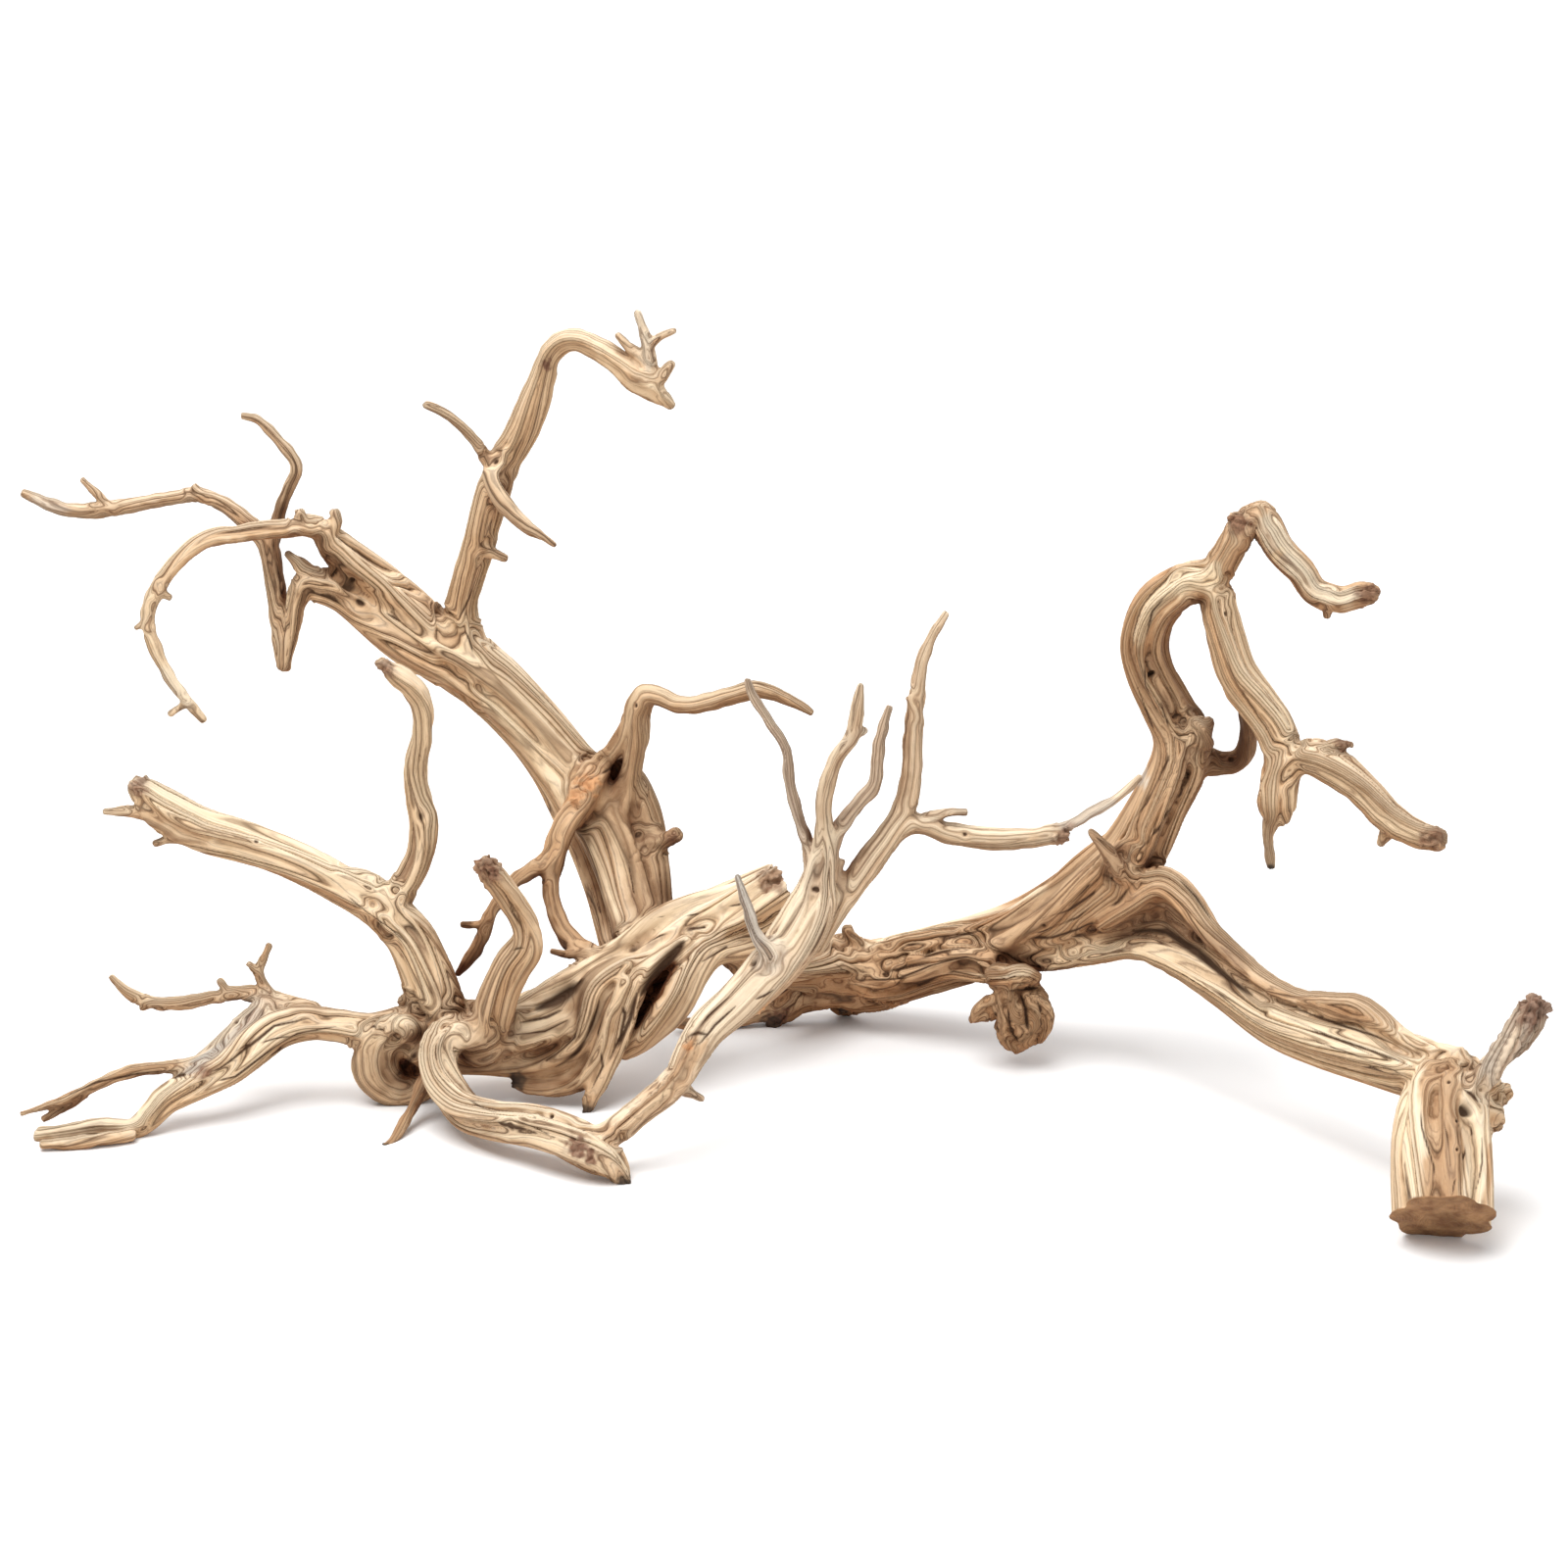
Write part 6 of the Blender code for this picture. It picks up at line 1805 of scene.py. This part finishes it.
class GhostWoodShape(bpy.types.PropertyGroup):
    """Sizes of the wood's grid and carving."""

    grid: bpy.props.FloatProperty(
        name="Grid", description="Distance between points of the skin",
        default=0.95 * MM, min=0.8 * MM, max=4 * MM, precision=5, unit="LENGTH",
    )
    softening: bpy.props.IntProperty(
        name="Softening", description="How often the joints between limbs are smoothed",
        default=5, min=0, max=30,
    )
    groove_depth: bpy.props.FloatProperty(
        name="Groove depth", description="Depth of the long grooves on a thick limb",
        default=2.3 * MM, min=0, max=5 * MM, precision=5, unit="LENGTH",
    )
    fine_depth: bpy.props.FloatProperty(
        name="Fine groove depth", description="Depth of the fine grooves on a thick limb",
        default=1.2 * MM, min=0, max=2 * MM, precision=5, unit="LENGTH",
    )
    swell: bpy.props.FloatProperty(
        name="Swell", description="Height of the broad ridges between the grooves",
        default=1.8 * MM, min=0, max=4 * MM, precision=5, unit="LENGTH",
    )


def colour_property(name, description, default):
    """A colour that a user can change."""
    return bpy.props.FloatVectorProperty(
        name=name, description=description, default=default, subtype="COLOR",
        size=3, min=0.0, max=1.0,
    )


class GhostWoodColours(bpy.types.PropertyGroup):
    """Colours of the wood, and of its painted highlight and painted shade."""

    cream: colour_property("Cream", "Bleached outer wood", (0.87, 0.67, 0.43))
    tan: colour_property("Tan", "Plain weathered wood", (0.68, 0.425, 0.225))
    warm: colour_property("Warm", "Orange-brown heartwood", (0.53, 0.275, 0.125))
    umber: colour_property("Umber", "The darkest side of the tall limb", (0.22, 0.12, 0.065))
    brown: colour_property("Brown", "Lines of the grain", (0.2, 0.092, 0.04))
    silver: colour_property("Silver", "Grey of long-bleached twigs", (0.56, 0.54, 0.5))
    # Colour of the painted highlight on ridges that face the sky
    sky_highlight: colour_property("Bleached", "Ridges that face the sky", (0.97, 0.83, 0.63))
    # Colour of the painted shade on undersides
    underside_shade: colour_property("Underside", "What the underside is darkened by", (0.52, 0.34, 0.21))
    # Colour of the painted shade in sheltered places
    closed: colour_property("Shelter", "What sheltered places are darkened by", (0.22, 0.1, 0.035))
    # Colour of dirt and painted shade in grooves, cracks and knot holes
    hollow_dirt_and_shade: colour_property("Hollow", "Grooves and knot holes", (0.06, 0.026, 0.011))
    raw: colour_property("Raw", "Freshly torn wood", (0.62, 0.31, 0.14))
    bark: colour_property("Bark", "Scraps of bark and broken ends", (0.21, 0.095, 0.055))
    # Colour of the darkened tips, painted contact shadow where they rest on the floor
    char: colour_property("Char", "Darkened tips", (0.035, 0.024, 0.018))
    sawn: colour_property("Sawn", "The sawn end", (0.4, 0.215, 0.1))
    sawn_dark: colour_property("Sawn dark", "Stains on the sawn end", (0.2, 0.092, 0.04))


class GhostWoodStage(bpy.types.PropertyGroup):
    """Floor, light and camera."""

    floor_size: bpy.props.FloatProperty(
        name="Floor size", description="Side of the floor", default=24.0, min=2.0, unit="LENGTH",
    )
    floor_colour: colour_property("Floor colour", "Pale floor", (0.93, 0.93, 0.93))
    sky: bpy.props.FloatProperty(
        name="Sky", description="Strength of the even light all round", default=0.5, min=0.0,
    )
    key_power: bpy.props.FloatProperty(
        name="Key power", description="Power of the large soft light", default=75.0, min=0.0,
        subtype="POWER",
    )
    floor_power: bpy.props.FloatProperty(
        name="Floor power", description="Power of the light on the floor behind the wood",
        default=330.0, min=0.0, subtype="POWER",
    )
    lens: bpy.props.FloatProperty(
        name="Lens", description="Focal length in millimetres", default=97.12, min=10.0,
    )


class OBJECT_OT_ghost_wood(bpy.types.Operator):
    """Grow the wood from its limbs, carve it along the grain and give it its finish"""

    bl_idname = "object.ghost_wood"
    bl_label = "Grow Ghost Wood"

    def execute(self, context):
        shape = context.scene.ghost_wood_shape
        wood = grown_skin(shape)
        carve(wood, shape)
        material = wood_material(context.scene.ghost_wood_colours)
        across = vertex_values(wood.data, "co")[:, 0]
        cuts = np.quantile(across, np.linspace(0, 1, len(PIECES) + 1)).tolist()
        cuts[0], cuts[-1] = -np.inf, np.inf
        for name, start, end in zip(PIECES, cuts, cuts[1:]):
            piece = parted(wood, start, end, name)
            piece.data.materials.append(material)
            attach(piece, "root")
            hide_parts("ghost_wood")
        bpy.data.objects.remove(wood)
        return {"FINISHED"}


class SCENE_OT_ghost_wood_stage(bpy.types.Operator):
    """Set up the floor, the soft light and the camera"""

    bl_idname = "scene.ghost_wood_stage"
    bl_label = "Set the Stage"

    def execute(self, context):
        stage = context.scene.ghost_wood_stage
        bpy.ops.mesh.primitive_plane_add(size=stage.floor_size, location=(0, 0, 0))
        floor = context.object
        floor.name = "floor"
        floor.data.materials.append(plain_material("pale_floor", stage.floor_colour, 0.9))
        floor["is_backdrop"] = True
        world = bpy.data.worlds.new("even_light")
        world.use_nodes = True
        sky = world.node_tree.nodes["Background"]
        sky.inputs["Color"].default_value = (1, 1, 1, 1)
        sky.inputs["Strength"].default_value = stage.sky
        context.scene.world = world
        context.scene.view_settings.view_transform = "Standard"
        for name, place, size, power, target in (
            ("key_light", (-0.6, -0.45, 2.5), 1.9, stage.key_power, (0, 0, 0.15)),
            ("fill_light", (1.8, -1.6, 1.2), 1.8, stage.key_power * 0.12, (0, 0, 0.15)),
            ("floor_light", (0, 6.5, 4.5), 9.0, stage.floor_power, (0, 6.5, 0)),
        ):
            lamp = bpy.data.lights.new(name, "AREA")
            lamp.energy = power
            lamp.size = size
            light = bpy.data.objects.new(name, lamp)
            context.scene.collection.objects.link(light)
            light.location = place
            aim = np.array(target) - np.array(place)
            light.rotation_euler = Vector(aim.tolist()).to_track_quat("-Z", "Y").to_euler()
        eye, _ = sight(VIEW_CENTRE, VIEW_CENTRE)
        camera_data = bpy.data.cameras.new("camera")
        camera_data.lens = stage.lens
        camera_data.sensor_width = 36.0
        camera_data.clip_end = 100.0
        camera = bpy.data.objects.new("camera", camera_data)
        context.scene.collection.objects.link(camera)
        camera.location = fitted(eye).tolist()
        camera.rotation_euler = (pi / 2 - VIEW_TILT, 0, 0)
        context.scene.camera = camera
        return {"FINISHED"}


class VIEW3D_PT_ghost_wood(bpy.types.Panel):
    """Sizes, colours and steps of the ghost wood"""

    bl_label = "Ghost Wood"
    bl_space_type = "VIEW_3D"
    bl_region_type = "UI"
    bl_category = "Ghost Wood"

    def draw(self, context):
        layout = self.layout
        for group in ("ghost_wood_shape", "ghost_wood_colours", "ghost_wood_stage"):
            settings = getattr(context.scene, group)
            box = layout.box()
            for key in settings.__annotations__:
                box.prop(settings, key)
        layout.operator(OBJECT_OT_ghost_wood.bl_idname)
        layout.operator(SCENE_OT_ghost_wood_stage.bl_idname)


CLASSES = (
    GhostWoodShape, GhostWoodColours, GhostWoodStage,
    OBJECT_OT_ghost_wood, SCENE_OT_ghost_wood_stage, VIEW3D_PT_ghost_wood,
)


def register():
    for made in CLASSES:
        bpy.utils.register_class(made)
    bpy.types.Scene.ghost_wood_shape = bpy.props.PointerProperty(type=GhostWoodShape)
    bpy.types.Scene.ghost_wood_colours = bpy.props.PointerProperty(type=GhostWoodColours)
    bpy.types.Scene.ghost_wood_stage = bpy.props.PointerProperty(type=GhostWoodStage)


def unregister():
    del bpy.types.Scene.ghost_wood_stage
    del bpy.types.Scene.ghost_wood_colours
    del bpy.types.Scene.ghost_wood_shape
    for made in reversed(CLASSES):
        bpy.utils.unregister_class(made)


def main():
    """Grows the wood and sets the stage."""
    register()
    bpy.ops.object.ghost_wood()
    bpy.ops.scene.ghost_wood_stage()
    boxes = {"cad": CAD_BOX, "visual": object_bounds()}
    {key: [list(corner) for corner in box] for key, box in boxes.items()}


if __name__ == "__main__":
    main()
